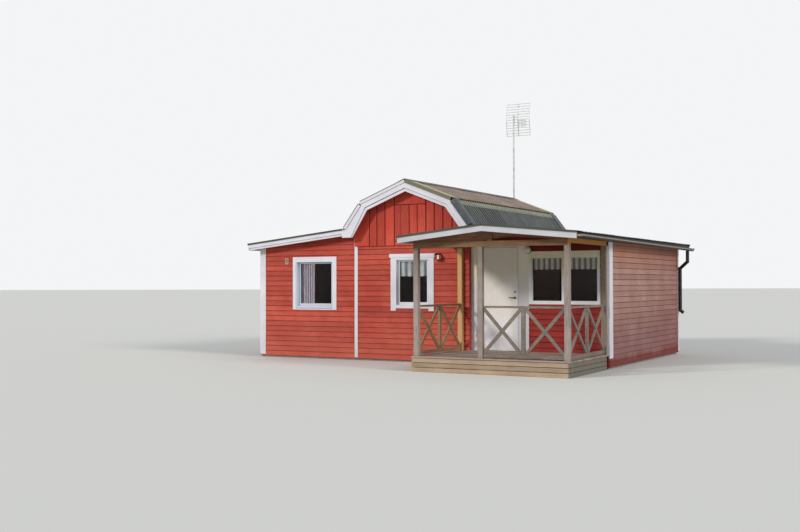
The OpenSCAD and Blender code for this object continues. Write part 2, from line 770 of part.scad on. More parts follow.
// A flat ring round a window's middle line x
module window_ring(x, w0, w1, z00, z01, z10, z11, y0, y1)
    difference() {
        block(x - w0 / 2, x + w0 / 2, y0, y1, z00, z01);
        block(x - w1 / 2, x + w1 / 2, y0 - 1, y1 + 1, z10, z11);
    }

// The lining of a window hole, with the sash set back in it
module sash(x, w, z0, z1) {
    window_ring(x, w, w - 2 * lining_t, z0, z1, z0 + lining_t, z1 - lining_t, -board_t, glass_set);
    window_ring(x, w, w - 2 * (lining_t + sash_w), z0, z1, z0 + sash_low_rail, z1 - sash_top_rail, sash_set, glass_set);
}

module left_window_frame() placed() color(color_trim) {
    top = casing_z + left_win_h;
    window_ring(left_win_x, left_win_w, left_hole_w, casing_z, top, left_hole_z0, left_hole_z1, -board_t, 0);
    sash(left_win_x, left_hole_w, left_hole_z0, left_hole_z1);
}

// Casings down to the ears, a sill between them and a head board across them
module gable_frame() {
    top = casing_z + gable_win_h;
    head_drop = 75;
    head_lip = 28;
    head_proud = 12;
    half = gable_win_w / 2;
    inner = half - gable_casing_w;
    for (s = [-1, 1])
        translate([gable_win_x + s * (half - gable_casing_w / 2), 0, 0])
            block(-gable_casing_w / 2, gable_casing_w / 2, -board_t, 0, casing_z, top);
    block(gable_win_x - inner, gable_win_x + inner, -board_t, 0, casing_z + gable_ear, gable_hole_z0);
    block(gable_win_x - inner, gable_win_x + inner, -board_t, 0, gable_hole_z1, top);
    block(gable_win_x - half - head_lip, gable_win_x + half + head_lip, -board_t - head_proud, 0, top, top + head_drop);
    sash(gable_win_x, gable_hole_w, gable_hole_z0, gable_hole_z1);
}

module gable_window_frames() placed() color(color_trim) {
    gable_frame();
    translate([gable_w, house_d, 0]) rotate([0, 0, 180]) gable_frame();
}

module porch_window_frame() placed() color(color_trim) {
    pane_w = (porch_win_w - 2 * porch_stile_w - porch_mullion_w) / 2;
    y0 = porch_setback - board_t;
    y1 = porch_setback + glass_set;
    z1 = porch_win_z + porch_win_h;
    difference() {
        block(porch_win_x0, porch_win_x0 + porch_win_w, y0, y1, porch_win_z, z1);
        for (i = [0, 1]) {
            x = porch_win_x0 + porch_stile_w + i * (pane_w + porch_mullion_w);
            block(x, x + pane_w, y0 - 1, y1 + 1, porch_win_z + porch_bottom_h, z1 - porch_top_h);
        }
    }
}

module gable_pane()
    block(gable_win_x - gable_hole_w / 2, gable_win_x + gable_hole_w / 2, glass_set, glass_set + glass_t,
        gable_hole_z0, gable_hole_z1);

module window_glass() placed() color("lightblue", 0.4) {
    x0 = left_win_x - left_hole_w / 2;
    block(x0, x0 + left_hole_w, glass_set, glass_set + glass_t, left_hole_z0, left_hole_z1);
    gable_pane();
    translate([gable_w, house_d, 0]) rotate([0, 0, 180]) gable_pane();
    block(porch_win_x0, porch_win_x0 + porch_win_w, porch_setback + glass_set, porch_setback + glass_set + glass_t,
        porch_win_z, porch_win_z + porch_win_h);
}

// Half a curtain on the left, valances over the other panes
module curtains() placed() color("lavender") {
    y = glass_set + glass_t + curtain_gap;
    x0 = left_win_x - left_hole_w / 2 + curtain_edge;
    block(x0, left_win_x - curtain_edge, y, y + curtain_t, left_hole_z0 + curtain_edge, left_hole_z1);
    gx0 = gable_win_x - gable_hole_w / 2 + curtain_edge;
    block(gx0, gx0 + gable_hole_w - 2 * curtain_edge, y, y + curtain_t, gable_hole_z1 - valance_h, gable_hole_z1);
    z1 = porch_win_z + porch_win_h;
    w = porch_win_w / 2 - 2 * curtain_edge;
    for (i = [0, 1]) {
        x = porch_win_x0 + curtain_edge + i * porch_win_w / 2;
        block(x, x + w, porch_setback + y, porch_setback + y + curtain_t, z1 - porch_top_h - porch_valance_h, z1);
    }
}

// Jambs and head rebated for the leaf, a threshold under it and a casing on the lock side
module door_frame() placed() color(color_trim) {
    y1 = leaf_y + leaf_t + leaf_gap;
    difference() {
        union() {
            block(door_x0, door_x1, porch_setback, porch_wall_y1, floor_z - threshold_h, frame_z);
            block(door_x0, door_x1, jamb_y0, porch_setback + 1, floor_z, frame_z);
        }
        block(leaf_x - leaf_gap, leaf_x + leaf_w + leaf_gap, jamb_y0 - 1, y1, floor_z, leaf_z + leaf_h + leaf_gap);
        block(leaf_x + stop_w, leaf_x + leaf_w - stop_w, y1 - 1, porch_wall_y1 + 1, floor_z, leaf_z + leaf_h - stop_w);
    }
    block(door_x1, door_x1 + casing_gap_w, jamb_y0, porch_setback, floor_z, frame_z);
}

module door_leaf() placed() color("linen")
    block(leaf_x, leaf_x + leaf_w, leaf_y, leaf_y + leaf_t, leaf_z, leaf_z + leaf_h);

// Heights of the two lift-off hinges, and of the joint between their knuckles
hinge_z = [leaf_z + hinge_inset, leaf_z + leaf_h - hinge_inset - hinge_len];
knuckle_h = hinge_len / 2;

// The upper knuckle turns with the leaf
module door_hinges() placed() color(color_metal)
    for (z = hinge_z)
        translate([hinge_x, hinge_y, z + knuckle_h + hinge_play])
            difference() {
                union() {
                    cylinder(d = hinge_d, h = knuckle_h, $fn = 24);
                    block(0, hinge_leaf_w, leaf_y - hinge_y - hinge_leaf_t, leaf_y - hinge_y, 0, knuckle_h);
                }
                translate([0, 0, -1]) cylinder(d = hinge_pin_d + 2 * hinge_play, h = knuckle_h - 4, $fn = 24);
            }

// The lower knuckle and its pin stay on the jamb
module hinge_pintles() placed() color(color_metal)
    for (z = hinge_z)
        translate([hinge_x, hinge_y, z]) {
            cylinder(d = hinge_d, h = knuckle_h, $fn = 24);
            cylinder(d = hinge_pin_d, h = 2 * knuckle_h - 10, $fn = 24);
            block(-hinge_leaf_w, 0, jamb_y0 - hinge_y - hinge_leaf_t, jamb_y0 - hinge_y, 0, knuckle_h);
        }

module door_handle() placed() color(color_metal) {
    rose_d = 44;
    rose_t = 8;
    grip_d = 18;
    grip_l = 115;
    reach = 46;
    x = leaf_x + leaf_w - 62;
    z = floor_z + lever_h;
    for (h = [z, z + lock_rise])
        translate([x, leaf_y, h]) rotate([90, 0, 0]) cylinder(d = rose_d, h = rose_t, $fn = 32);
    translate([x, leaf_y, z]) rotate([90, 0, 0]) cylinder(d = grip_d, h = reach + grip_d / 2, $fn = 24);
    translate([x, leaf_y - reach, z]) rotate([0, -90, 0]) cylinder(d = grip_d, h = grip_l, $fn = 24);
}

module porch_posts() placed() color(color_wood) {
    for (x = [left_post_x, mid_post_x, right_post_x])
        block(x - post_w / 2, x + post_w / 2, -porch_d, -porch_d + post_w, floor_z, beam_z);
    block(left_post_x - post_w / 2, left_post_x + post_w / 2, -half_post_t, 0, floor_z, side_beam_z);
    block(right_post_x - post_w / 2, right_post_x + post_w / 2, porch_setback - half_post_t, porch_setback,
        floor_z, side_beam_z);
}

// A raking rafter just under the porch roof boards, in the plane of the front posts
module porch_rafter(r, x0, x1)
    along_y(-porch_d + rafter_inset, -porch_d + post_w - rafter_inset,
        band(r[0] - [0, porch_roof_t + seat], r[1] - [0, porch_roof_t + seat], x0, x1, rafter_h));

// Tie beam, side beams planed to the roof slope, king post and rafters
module porch_beams() placed() color(color_wood) {
    x0 = left_post_x - post_w / 2;
    x1 = right_post_x + post_w / 2;
    block(x0, x1, -porch_d, -porch_d + post_w, beam_z, beam_top);
    under_roof(pl, porch_roof_t, x0, x0 + post_w, -porch_d + post_w, -panel_proud, side_beam_z);
    under_roof(rw, porch_roof_t, x1 - post_w, x1, -porch_d + post_w, porch_setback, side_beam_z);
    under_roof(rw, porch_roof_t, max(king_x, porch_ridge_x), king_x + king_w, -porch_d + rafter_inset,
        -porch_d + post_w - rafter_inset, beam_z);
    under_roof(pl, porch_roof_t, king_x, porch_ridge_x, -porch_d + rafter_inset,
        -porch_d + post_w - rafter_inset, beam_z);
    porch_rafter(pl, x0, porch_ridge_x);
    porch_rafter(rw, porch_ridge_x, x1);
}

// One bay: two braces half lapped where they cross
module crossed_bay(w, h) {
    a = atan2(h, w);
    for (s = [-1, 1])
        translate([w / 2, 0, h / 2]) rotate([0, s * a, 0]) cube([norm([w, h]), brace_t, brace_w], center = true);
}

// A railing panel of equal bays along x from 0 to w, centred on y
module railing(w, bays) {
    newels = bays - 1;
    bay_w = (w - newels * newel_w) / bays;
    h0 = low_rail_z + low_rail_h;
    h = rail_z - rail_t - h0;
    translate([0, -rail_d / 2, rail_z - rail_t]) cube([w, rail_d, rail_t]);
    translate([0, -rail_d / 2, low_rail_z]) cube([w, rail_d, low_rail_h]);
    for (i = [1 : 1 : newels])
        translate([i * bay_w + (i - 1) * newel_w, -rail_d / 2, h0]) cube([newel_w, rail_d, h]);
    for (i = [0 : bays - 1])
        intersection() {
            translate([i * (bay_w + newel_w), 0, h0]) crossed_bay(bay_w, h);
            translate([i * (bay_w + newel_w), -brace_t, h0]) cube([bay_w, 2 * brace_t, h]);
        }
}

module left_railing() placed() color(color_wood)
    translate([left_post_x, -half_post_t, 0]) rotate([0, 0, -90])
        railing(porch_d - post_w - half_post_t, 2);

module right_railing() placed() color(color_wood)
    translate([right_post_x, porch_setback - half_post_t, 0]) rotate([0, 0, -90])
        railing(porch_d - post_w - half_post_t + porch_setback, 2);

module front_railing() placed() color(color_wood)
    translate([mid_post_x + post_w / 2, post_y, 0])
        railing(right_post_x - mid_post_x - post_w, 2);

// In the gutter's own frame: y from its front end, z = 0 at its rim
module gutter_trough(r, y0, y1)
    intersection() {
        translate([0, y1, 0]) rotate([90, 0, 0]) cylinder(r = r, h = y1 - y0, $fn = 48);
        block(-r, r, y0, y1, -r, 0);
    }

module gutter() placed() color(color_metal)
    translate([gutter_x, gutter_y0, gutter_z]) rotate([-gutter_tilt, 0, 0])
        difference() {
            gutter_trough(gutter_r, 0, gutter_l);
            translate([0, gutter_l - gutter_end, 0]) rotate([90, 0, 0])
                cylinder(r = gutter_r - gutter_t, h = gutter_l - 2 * gutter_end, $fn = 48);
        }

module downpipe() placed() color(color_metal) {
    a = [gutter_x, outlet_y, neck_top_z];
    b = [pipe_x, pipe_y, neck_end_z];
    c = [pipe_x, pipe_y, pipe_end_z];
    r = pipe_d / 2;
    d = b - a;
    l = norm(d);
    clip_z = (neck_end_z + pipe_end_z) / 2;
    for (p = [a, b, c]) translate(p) sphere(r = r + elbow_rim, $fn = 32);
    translate(a) cylinder(r = r, h = outlet_z - neck_top_z, $fn = 32);
    translate(a) rotate([0, acos(d[2] / l), atan2(d[1], d[0])]) cylinder(r = r, h = l, $fn = 32);
    translate(c) cylinder(r = r, h = neck_end_z - pipe_end_z, $fn = 32);
    translate(c) rotate([0, 180 - shoe_angle, 0]) cylinder(r = r, h = shoe_l, $fn = 32);
    block(right_x + board_t, b[0], b[1] - pipe_clip_h / 2, b[1] + pipe_clip_h / 2, clip_z, clip_z + pipe_clip_h);
}

// A lantern beside the gable window, a round lamp on its back plate over the porch window
lantern_size = [150, 90, 130];
lantern_side = 50;
lantern_drop = 62;
lamp_d = 150;
lamp_t = 85;
lamp_side = 11;
lamp_drop = 48;

module wall_lamps() placed() color("sienna") {
    translate([gable_win_x + gable_win_w / 2 + lantern_side, -lantern_size[1], casing_z + gable_win_h - lantern_drop])
        cube(lantern_size);
    translate([porch_win_x0 - lamp_side, jamb_y0, frame_z - lamp_d / 2 - lamp_drop]) rotate([90, 0, 0])
        cylinder(d = lamp_d, h = lamp_t, $fn = 48);
}

vent_size = [82, 8, 132];
vent_side = 204;
vent_drop = 151;

module vent_plate() placed() color("tan")
    translate([left_win_x - left_win_w / 2 - vent_side, -vent_size[1], casing_z + left_win_h - vent_drop])
        cube(vent_size);

mast_foot = 200;
mast_clip_t = 24;
mast_clip_z = [panel_z + 60, knee_z - 120];
mast_clip_lap = 2;

module antenna_mast() placed() color("silver") {
    translate([mid_x, mast_y, panel_z - mast_foot]) cylinder(d = mast_d, h = mast_z - panel_z + mast_foot, $fn = 24);
    for (z = mast_clip_z)
        block(mid_x - mast_clip_t / 2, mid_x + mast_clip_t / 2, house_d + panel_proud,
            mast_y - mast_d / 2 + mast_clip_lap, z, z + mast_clip_t);
}

module rod(a, b, d)
    translate(a) rotate([0, acos((b[2] - a[2]) / norm(b - a)), atan2(b[1] - a[1], b[0] - a[0])])
        cylinder(d = d, h = norm(b - a), $fn = 12);

panel_rods = 6;
reflector_side = 97;
reflector_drop = 120;
carrier_h = 100;
director_rods = 5;
director_w = 190;
director_h = 170;

// Two panels of level rods that lean back from a bar across the mast, the directors beside the mast
module antenna_reflector() placed() color("silver") {
    x0 = mid_x + reflector_side - reflector_w / 2;
    y0 = reflector_y + boom_d / 2;
    z0 = mast_z - reflector_drop;
    block(mid_x - boom_d / 2, mid_x + boom_d / 2, reflector_y, reflector_y + boom_d, z0 - carrier_h, z0 + carrier_h);
    rod([x0, y0, z0], [x0 + reflector_w, y0, z0], rod_d);
    for (s = [-1, 1]) {
        for (i = [1 : panel_rods]) {
            y = y0 + reflector_lean * i / panel_rods;
            z = z0 + s * reflector_h / 2 * i / panel_rods;
            rod([x0, y, z], [x0 + reflector_w, y, z], rod_d);
        }
        for (x = [x0, x0 + reflector_w])
            rod([x, y0, z0], [x, y0 + reflector_lean, z0 + s * reflector_h / 2], rod_d);
        x1 = x0 + reflector_w / 2;
        rod([x1, y0, z0], [x1, y0 + reflector_lean, z0 + s * reflector_h / 2], boom_d);
    }
    x2 = x0 + reflector_w / 2 + boom_d;
    for (i = [0 : director_rods]) {
        x = x2 + director_w * i / director_rods;
        z = z0 - director_h * i / director_rods;
        rod([x, y0, z0 - director_h], [x, y0, z0], rod_d);
        rod([x2, y0, z], [x2 + director_w, y0, z], rod_d);
    }
}

foundation();
floor();
porch_platform();
left_wing_front_wall();
left_wing_side_wall();
gable_front_wall();
gable_front_panel();
loft_hatch();
door_infill_walls();
porch_window_wall();
right_side_wall();
back_wall();
rear_gable_panel();
carrying_beams();
gambrel_upper_deck();
gambrel_lower_deck();
gambrel_upper_sheets();
gambrel_lower_sheets();
ridge_caps();
verge_flashings();
left_wing_deck();
left_wing_sheets();
right_wing_deck();
right_wing_sheets();
porch_left_deck();
porch_left_sheets();
bargeboards();
left_wing_fascias();
porch_fascia();
right_wing_fascias();
corner_boards();
left_window_frame();
gable_window_frames();
porch_window_frame();
window_glass();
curtains();
door_frame();
door_leaf();
door_handle();
door_hinges();
hinge_pintles();
porch_posts();
porch_beams();
left_railing();
front_railing();
right_railing();
gutter();
downpipe();
wall_lamps();
vent_plate();
antenna_mast();
antenna_reflector();
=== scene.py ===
import json
import math
import random

import bmesh
import bpy
from mathutils import Matrix, Vector

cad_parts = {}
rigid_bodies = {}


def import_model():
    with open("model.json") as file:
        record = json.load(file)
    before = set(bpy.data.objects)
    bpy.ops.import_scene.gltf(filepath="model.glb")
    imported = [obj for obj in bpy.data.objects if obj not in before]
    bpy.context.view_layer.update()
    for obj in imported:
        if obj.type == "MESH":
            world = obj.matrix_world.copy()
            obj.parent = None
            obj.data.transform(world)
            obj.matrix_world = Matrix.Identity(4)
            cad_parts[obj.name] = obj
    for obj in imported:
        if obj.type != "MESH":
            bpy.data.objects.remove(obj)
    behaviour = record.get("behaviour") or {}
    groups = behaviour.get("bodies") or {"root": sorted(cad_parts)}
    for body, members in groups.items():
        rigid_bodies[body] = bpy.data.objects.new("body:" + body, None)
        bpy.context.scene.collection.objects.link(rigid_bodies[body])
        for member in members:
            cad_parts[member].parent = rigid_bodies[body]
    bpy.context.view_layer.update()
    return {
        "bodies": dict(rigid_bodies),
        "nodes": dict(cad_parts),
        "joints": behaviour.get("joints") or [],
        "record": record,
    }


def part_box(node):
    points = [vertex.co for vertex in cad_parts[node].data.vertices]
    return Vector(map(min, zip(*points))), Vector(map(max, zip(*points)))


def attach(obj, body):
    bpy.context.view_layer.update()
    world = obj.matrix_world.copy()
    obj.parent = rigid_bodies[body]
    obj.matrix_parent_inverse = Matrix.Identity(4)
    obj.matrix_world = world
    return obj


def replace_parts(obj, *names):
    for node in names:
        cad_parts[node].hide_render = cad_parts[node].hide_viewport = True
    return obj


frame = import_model()
cadNodes = frame["nodes"]
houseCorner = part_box("gable_front_wall")[0]  # left edge of the gable section at the house front
print("summer cottage: frame loaded,", len(cadNodes), "pieces")


def at(x, y, z):  # metres from the left front corner of the gable section, z above the ground
    return Vector((houseCorner.x + x, houseCorner.y + y, z))


def boxOf(node):  # a node's box, from that corner
    return [(p.x - houseCorner.x, p.y - houseCorner.y, p.z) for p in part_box(node)]


def addObject(name, data):
    thing = bpy.data.objects.new(name, data)
    bpy.context.scene.collection.objects.link(thing)
    return thing


def shade(parts):  # a colour written 0 to 255, as the shader takes it
    parts = [p / 255 for p in parts]
    return tuple(p / 12.92 if p < 0.0404 else ((p + 0.055) / 1.055) ** 2.4 for p in parts) + (1.0,)


def feed(node, inputs):  # links for sockets, values for the rest
    for key, value in inputs.items():
        if isinstance(value, bpy.types.NodeSocket):
            node.id_data.links.new(value, node.inputs[key])
        else:
            node.inputs[key].default_value = value


def addNode(tree, kind, inputs=None, **settings):
    node = tree.nodes.new("ShaderNode" + kind)
    for key, value in settings.items():
        setattr(node, key, value)
    feed(node, inputs or {})
    return node


def calc(operation, *values):
    tree = next(value.id_data for value in values if isinstance(value, bpy.types.NodeSocket))
    return addNode(tree, "Math", dict(enumerate(values)), operation=operation).outputs[0]


def startFinish(name):
    finish = bpy.data.materials.new(name)
    finish.use_nodes = True
    tree = finish.node_tree
    return finish, tree, tree.nodes["Principled BSDF"]


# Camera, floor and light

viewpoint = {
    "place": (11.473, -18.471, 1.591),
    "turnedLeft": 29.395,
    "lookUp": 0.972,
    "lean": -0.136,
    "lens": 46.79,
}


def makeCamera(look):
    turn, rise, lean = (math.radians(look[k]) for k in ("turnedLeft", "lookUp", "lean"))
    ahead = Vector((-math.sin(turn) * math.cos(rise), math.cos(turn) * math.cos(rise), math.sin(rise)))
    side = Vector((math.cos(turn), math.sin(turn), 0))
    tiltedSide = side * math.cos(lean) + side.cross(ahead) * math.sin(lean)
    data = bpy.data.cameras.new("gardenCamera")
    data.lens = look["lens"]
    data.sensor_width = 36
    data.clip_end = 300
    camera = addObject("gardenCamera", data)
    turned = Matrix((tiltedSide, tiltedSide.cross(ahead), -ahead)).transposed().to_4x4()
    camera.matrix_world = Matrix.Translation(at(*look["place"])) @ turned
    bpy.context.scene.camera = camera


studio = {
    "floorColour": (226, 226, 222),
    "floorReach": 400,
    "floorDrop": 0.001,
    "backdropColour": (244, 245, 246),
    "backdropStrength": 1.0,
    "skyColour": (222, 230, 240),
    "skyStrength": 0.52,
    "sunColour": (255, 250, 240),
    "eveningSun": (1.9, 9, (-0.50, -0.80, 0.38)),  # strength, softness and where from
    "sideFill": (1.5, 18, (0.88, -0.20, 0.42)),
}


def makeSky(look):
    world = bpy.data.worlds.new("softSky")
    bpy.context.scene.world = world
    world.use_nodes = True
    tree = world.node_tree
    tree.nodes.clear()
    path = addNode(tree, "LightPath").outputs
    seen = path["Is Camera Ray"]
    for way in ("Is Transmission Ray", "Is Glossy Ray"):
        seen = calc("MAXIMUM", seen, path[way])
    glows = []
    for part in ("sky", "backdrop"):
        inputs = {"Color": shade(look[part + "Colour"]), "Strength": look[part + "Strength"]}
        glows.append(addNode(tree, "Background", inputs).outputs[0])
    mixed = addNode(tree, "MixShader", {0: seen, 1: glows[0], 2: glows[1]})
    addNode(tree, "OutputWorld", {0: mixed.outputs[0]})


def makeStudio(look):
    makeSky(look)
    for name in ("eveningSun", "sideFill"):
        strength, softness, source = look[name]
        data = bpy.data.lights.new(name, "SUN")
        data.energy = strength
        data.angle = math.radians(softness)
        data.color = shade(look["sunColour"])[:3]
        addObject(name, data).rotation_euler = Vector(source).to_track_quat("Z", "Y").to_euler()
    mesh = bpy.data.meshes.new("studioFloor")
    r = look["floorReach"]
    mesh.from_pydata([(-r, -r, 0), (r, -r, 0), (r, r, 0), (-r, r, 0)], [], [(0, 1, 2, 3)])
    floor = addObject("studioFloor", mesh)
    floor.location.z = -look["floorDrop"]
    ground, _, paint = startFinish("studioFloor")
    feed(paint, {"Base Color": shade(look["floorColour"]), "Roughness": 0.9, "Specular IOR Level": 0.1})
    mesh.materials.append(ground)


makeCamera(viewpoint)
makeStudio(studio)
bpy.context.scene.view_settings.view_transform = "Standard"
print("summer cottage: camera and studio ready")


# Finishes


def mixColour(factor, first, second):
    return addNode(factor.id_data, "Mix", {0: factor, 6: first, 7: second}, data_type="RGBA").outputs[2]


def spread(value, low, high, lowTo=0.0, highTo=1.0):  # a value from low to high becomes lowTo to highTo
    return addNode(value.id_data, "MapRange", {0: value, 1: low, 2: high, 3: lowTo, 4: highTo}).outputs[0]


def between(value, low, high, blur=0.001):  # one from low to high, nothing outside
    return calc("MULTIPLY", spread(value, low - blur, low + blur), spread(value, high + blur, high - blur))


def placeOf(tree):
    return addNode(tree, "TexCoord").outputs["Object"]


def axesOf(vector):
    return addNode(vector.id_data, "SeparateXYZ", {0: vector}).outputs


def normalOf(tree):
    return axesOf(addNode(tree, "NewGeometry").outputs["Normal"])


def toneOf(tree):  # what a piece's faces say of themselves
    return addNode(tree, "Attribute", attribute_name="tone").outputs["Fac"]


def stretched(tree, scale):
    return addNode(tree, "Mapping", {"Vector": placeOf(tree), "Scale": scale}).outputs["Vector"]


grains = {  # scale, detail and roughness of the clouds that the finishes are mixed by
    "ragged": (2.2, 4, 0.6),
    "fibres": (14, 6, 0.6),
    "fading": (1.6, 4, 0.6),
    "specks": (45, 3, 0.7),
    "patches": (1.2, 5, 0.6),
    "lichen": (9, 6, 0.7),
    "streaks": (6, 4, 0.6),
    "grit": (160, 3, 0.7),
    "smears": (12, 4, 0.6),
    "brushing": (220, 2, 0.6),
    "ripple": (3, 2, 0.5),
    "folds": (26, 3, 0.5),
}


def cloud(where, grain, scale=None):  # the grain's own scale unless another is given
    usual, detail, rough = grains[grain]
    inputs = {"Vector": where, "Scale": scale or usual, "Detail": detail, "Roughness": rough}
    return addNode(where.id_data, "TexNoise", inputs).outputs["Fac"]


def bandMix(colour, axis, low, high, share, other, within=None):  # another colour past a place along an axis
    place = placeOf(colour.id_data)
    axes = axesOf(place)
    drift = min(0.25, abs(high - low) * 0.5)
    ragged = spread(cloud(place, "ragged"), 0.3, 0.7, -drift, drift)
    amount = spread(calc("ADD", axes[axis], ragged), low, high, 0, share)
    if within:
        amount = calc("MULTIPLY", amount, spread(axes[within[0]], *within[1:]))
    return mixColour(amount, colour, shade(other))


def fieldMix(colour, x0, x1, z0, z1, share, other):  # another colour inside an upright rectangle
    axes = axesOf(placeOf(colour.id_data))
    inside = calc("MULTIPLY", between(axes["X"], x0, x1), between(axes["Z"], z0, z1))
    return mixColour(calc("MULTIPLY", inside, share), colour, shade(other))


def highlightLineMix(colour, fall, low, high, other):  # a painted highlight line along the gutter, which falls towards the back
    axes = axesOf(placeOf(colour.id_data))
    level = calc("MULTIPLY_ADD", axes["Y"], fall, axes["Z"])
    return mixColour(between(level, low, high), colour, shade(other))


lapFoot, lapPitch = 0.040, 0.108  # where the lowest lapped board starts, and how far up the next


def lapShade(colour, share, dark):  # the dark line under each lapped board
    up = axesOf(placeOf(colour.id_data))["Z"]
    rows = calc("FRACT", spread(up, lapFoot, lapFoot + 100 * lapPitch, 0, 100))
    return mixColour(spread(rows, 0.84, 0.95, 0, share), colour, shade(dark))


def foldMix(colour, ridgeX, slopes, edge, other):  # paint on the front fold left of the ridge, below its edge
    axes = axesOf(placeOf(colour.id_data))
    reach = calc("SUBTRACT", ridgeX, axes["X"])
    depths = []
    for top, slope, share in slopes:  # how far below each slope's top edge, square to it
        line = calc("MULTIPLY_ADD", reach, -slope, top)
        depths.append(calc("MULTIPLY", calc("SUBTRACT", line, axes["Z"]), share))
    amount = spread(calc("MINIMUM", *depths), edge - 0.001, edge + 0.001)
    for side in (spread(reach, -0.002, 0.002), spread(normalOf(colour.id_data)["Y"], -0.6, -0.8)):
        amount = calc("MULTIPLY", amount, side)
    return mixColour(amount, colour, shade(other))


def endFinish(shader, colour, rough, height, depth, more):
    bump = addNode(shader.id_data, "Bump", {"Height": height, "Distance": depth, "Strength": 1.0})
    feed(shader, {"Base Color": colour, "Roughness": rough, "Normal": bump.outputs["Normal"], **more})


def roughness(value, gloss, more=0.2):
    return spread(value, 0.3, 0.7, gloss, min(1.0, gloss + more))


grainAlong = {"x": (0.35, 7.0, 7.0), "y": (7.0, 0.35, 7.0), "z": (7.0, 7.0, 0.35)}


def boardFinish(name, look):
    finish, tree, shader = startFinish(name)
    everywhere = stretched(tree, (1, 1, 1))
    fibres = cloud(stretched(tree, grainAlong[look["grain"]]), "fibres")
    fading, specks = cloud(everywhere, "fading"), cloud(everywhere, "specks")
    plain, faded, deep, worn = map(shade, look["colours"])
    colour = mixColour(spread(fading, 0.38, 0.66), plain, faded)
    colour = mixColour(spread(toneOf(tree), 0, 1, 0, look["toneShare"]), colour, deep)
    colour = mixColour(spread(fibres, 0.42, 0.72, 0, look["grainShare"]), colour, deep)
    colour = mixColour(spread(specks, 0.66, 0.8, 0, look["wear"]), colour, worn)
    for band in look["bands"]:
        colour = bandMix(colour, *band)
    for field in look["fields"]:
        colour = fieldMix(colour, *field)
    if look["laps"]:
        colour = lapShade(colour, *look["laps"])
    height = calc("ADD", fibres, spread(specks, 0.3, 0.8, 0, 0.4))
    rough = roughness(fibres, look["gloss"])
    endFinish(shader, colour, rough, height, look["bump"], {"Specular IOR Level": 0.3})
    return finish


def board(colours, grain, gloss, **more):  # colours are plain, faded, deep and worn
    usual = dict(wear=0.3, toneShare=0.5, grainShare=0.35, bump=0.0015, bands=(), fields=(), laps=())
    return dict(usual, colours=colours, grain=grain, gloss=gloss, **more)


def painted(colours, grain, **more):
    return board(colours, grain, 0.5, wear=0.25, toneShare=0.15, grainShare=0.2, **more)


def weathered(colours, grain, grainShare, **more):
    return board(colours, grain, 0.75, grainShare=grainShare, bump=0.003, **more)


def planed(colours, grain, gloss, **more):
    return board(colours, grain, gloss, grainShare=0.5, **more)


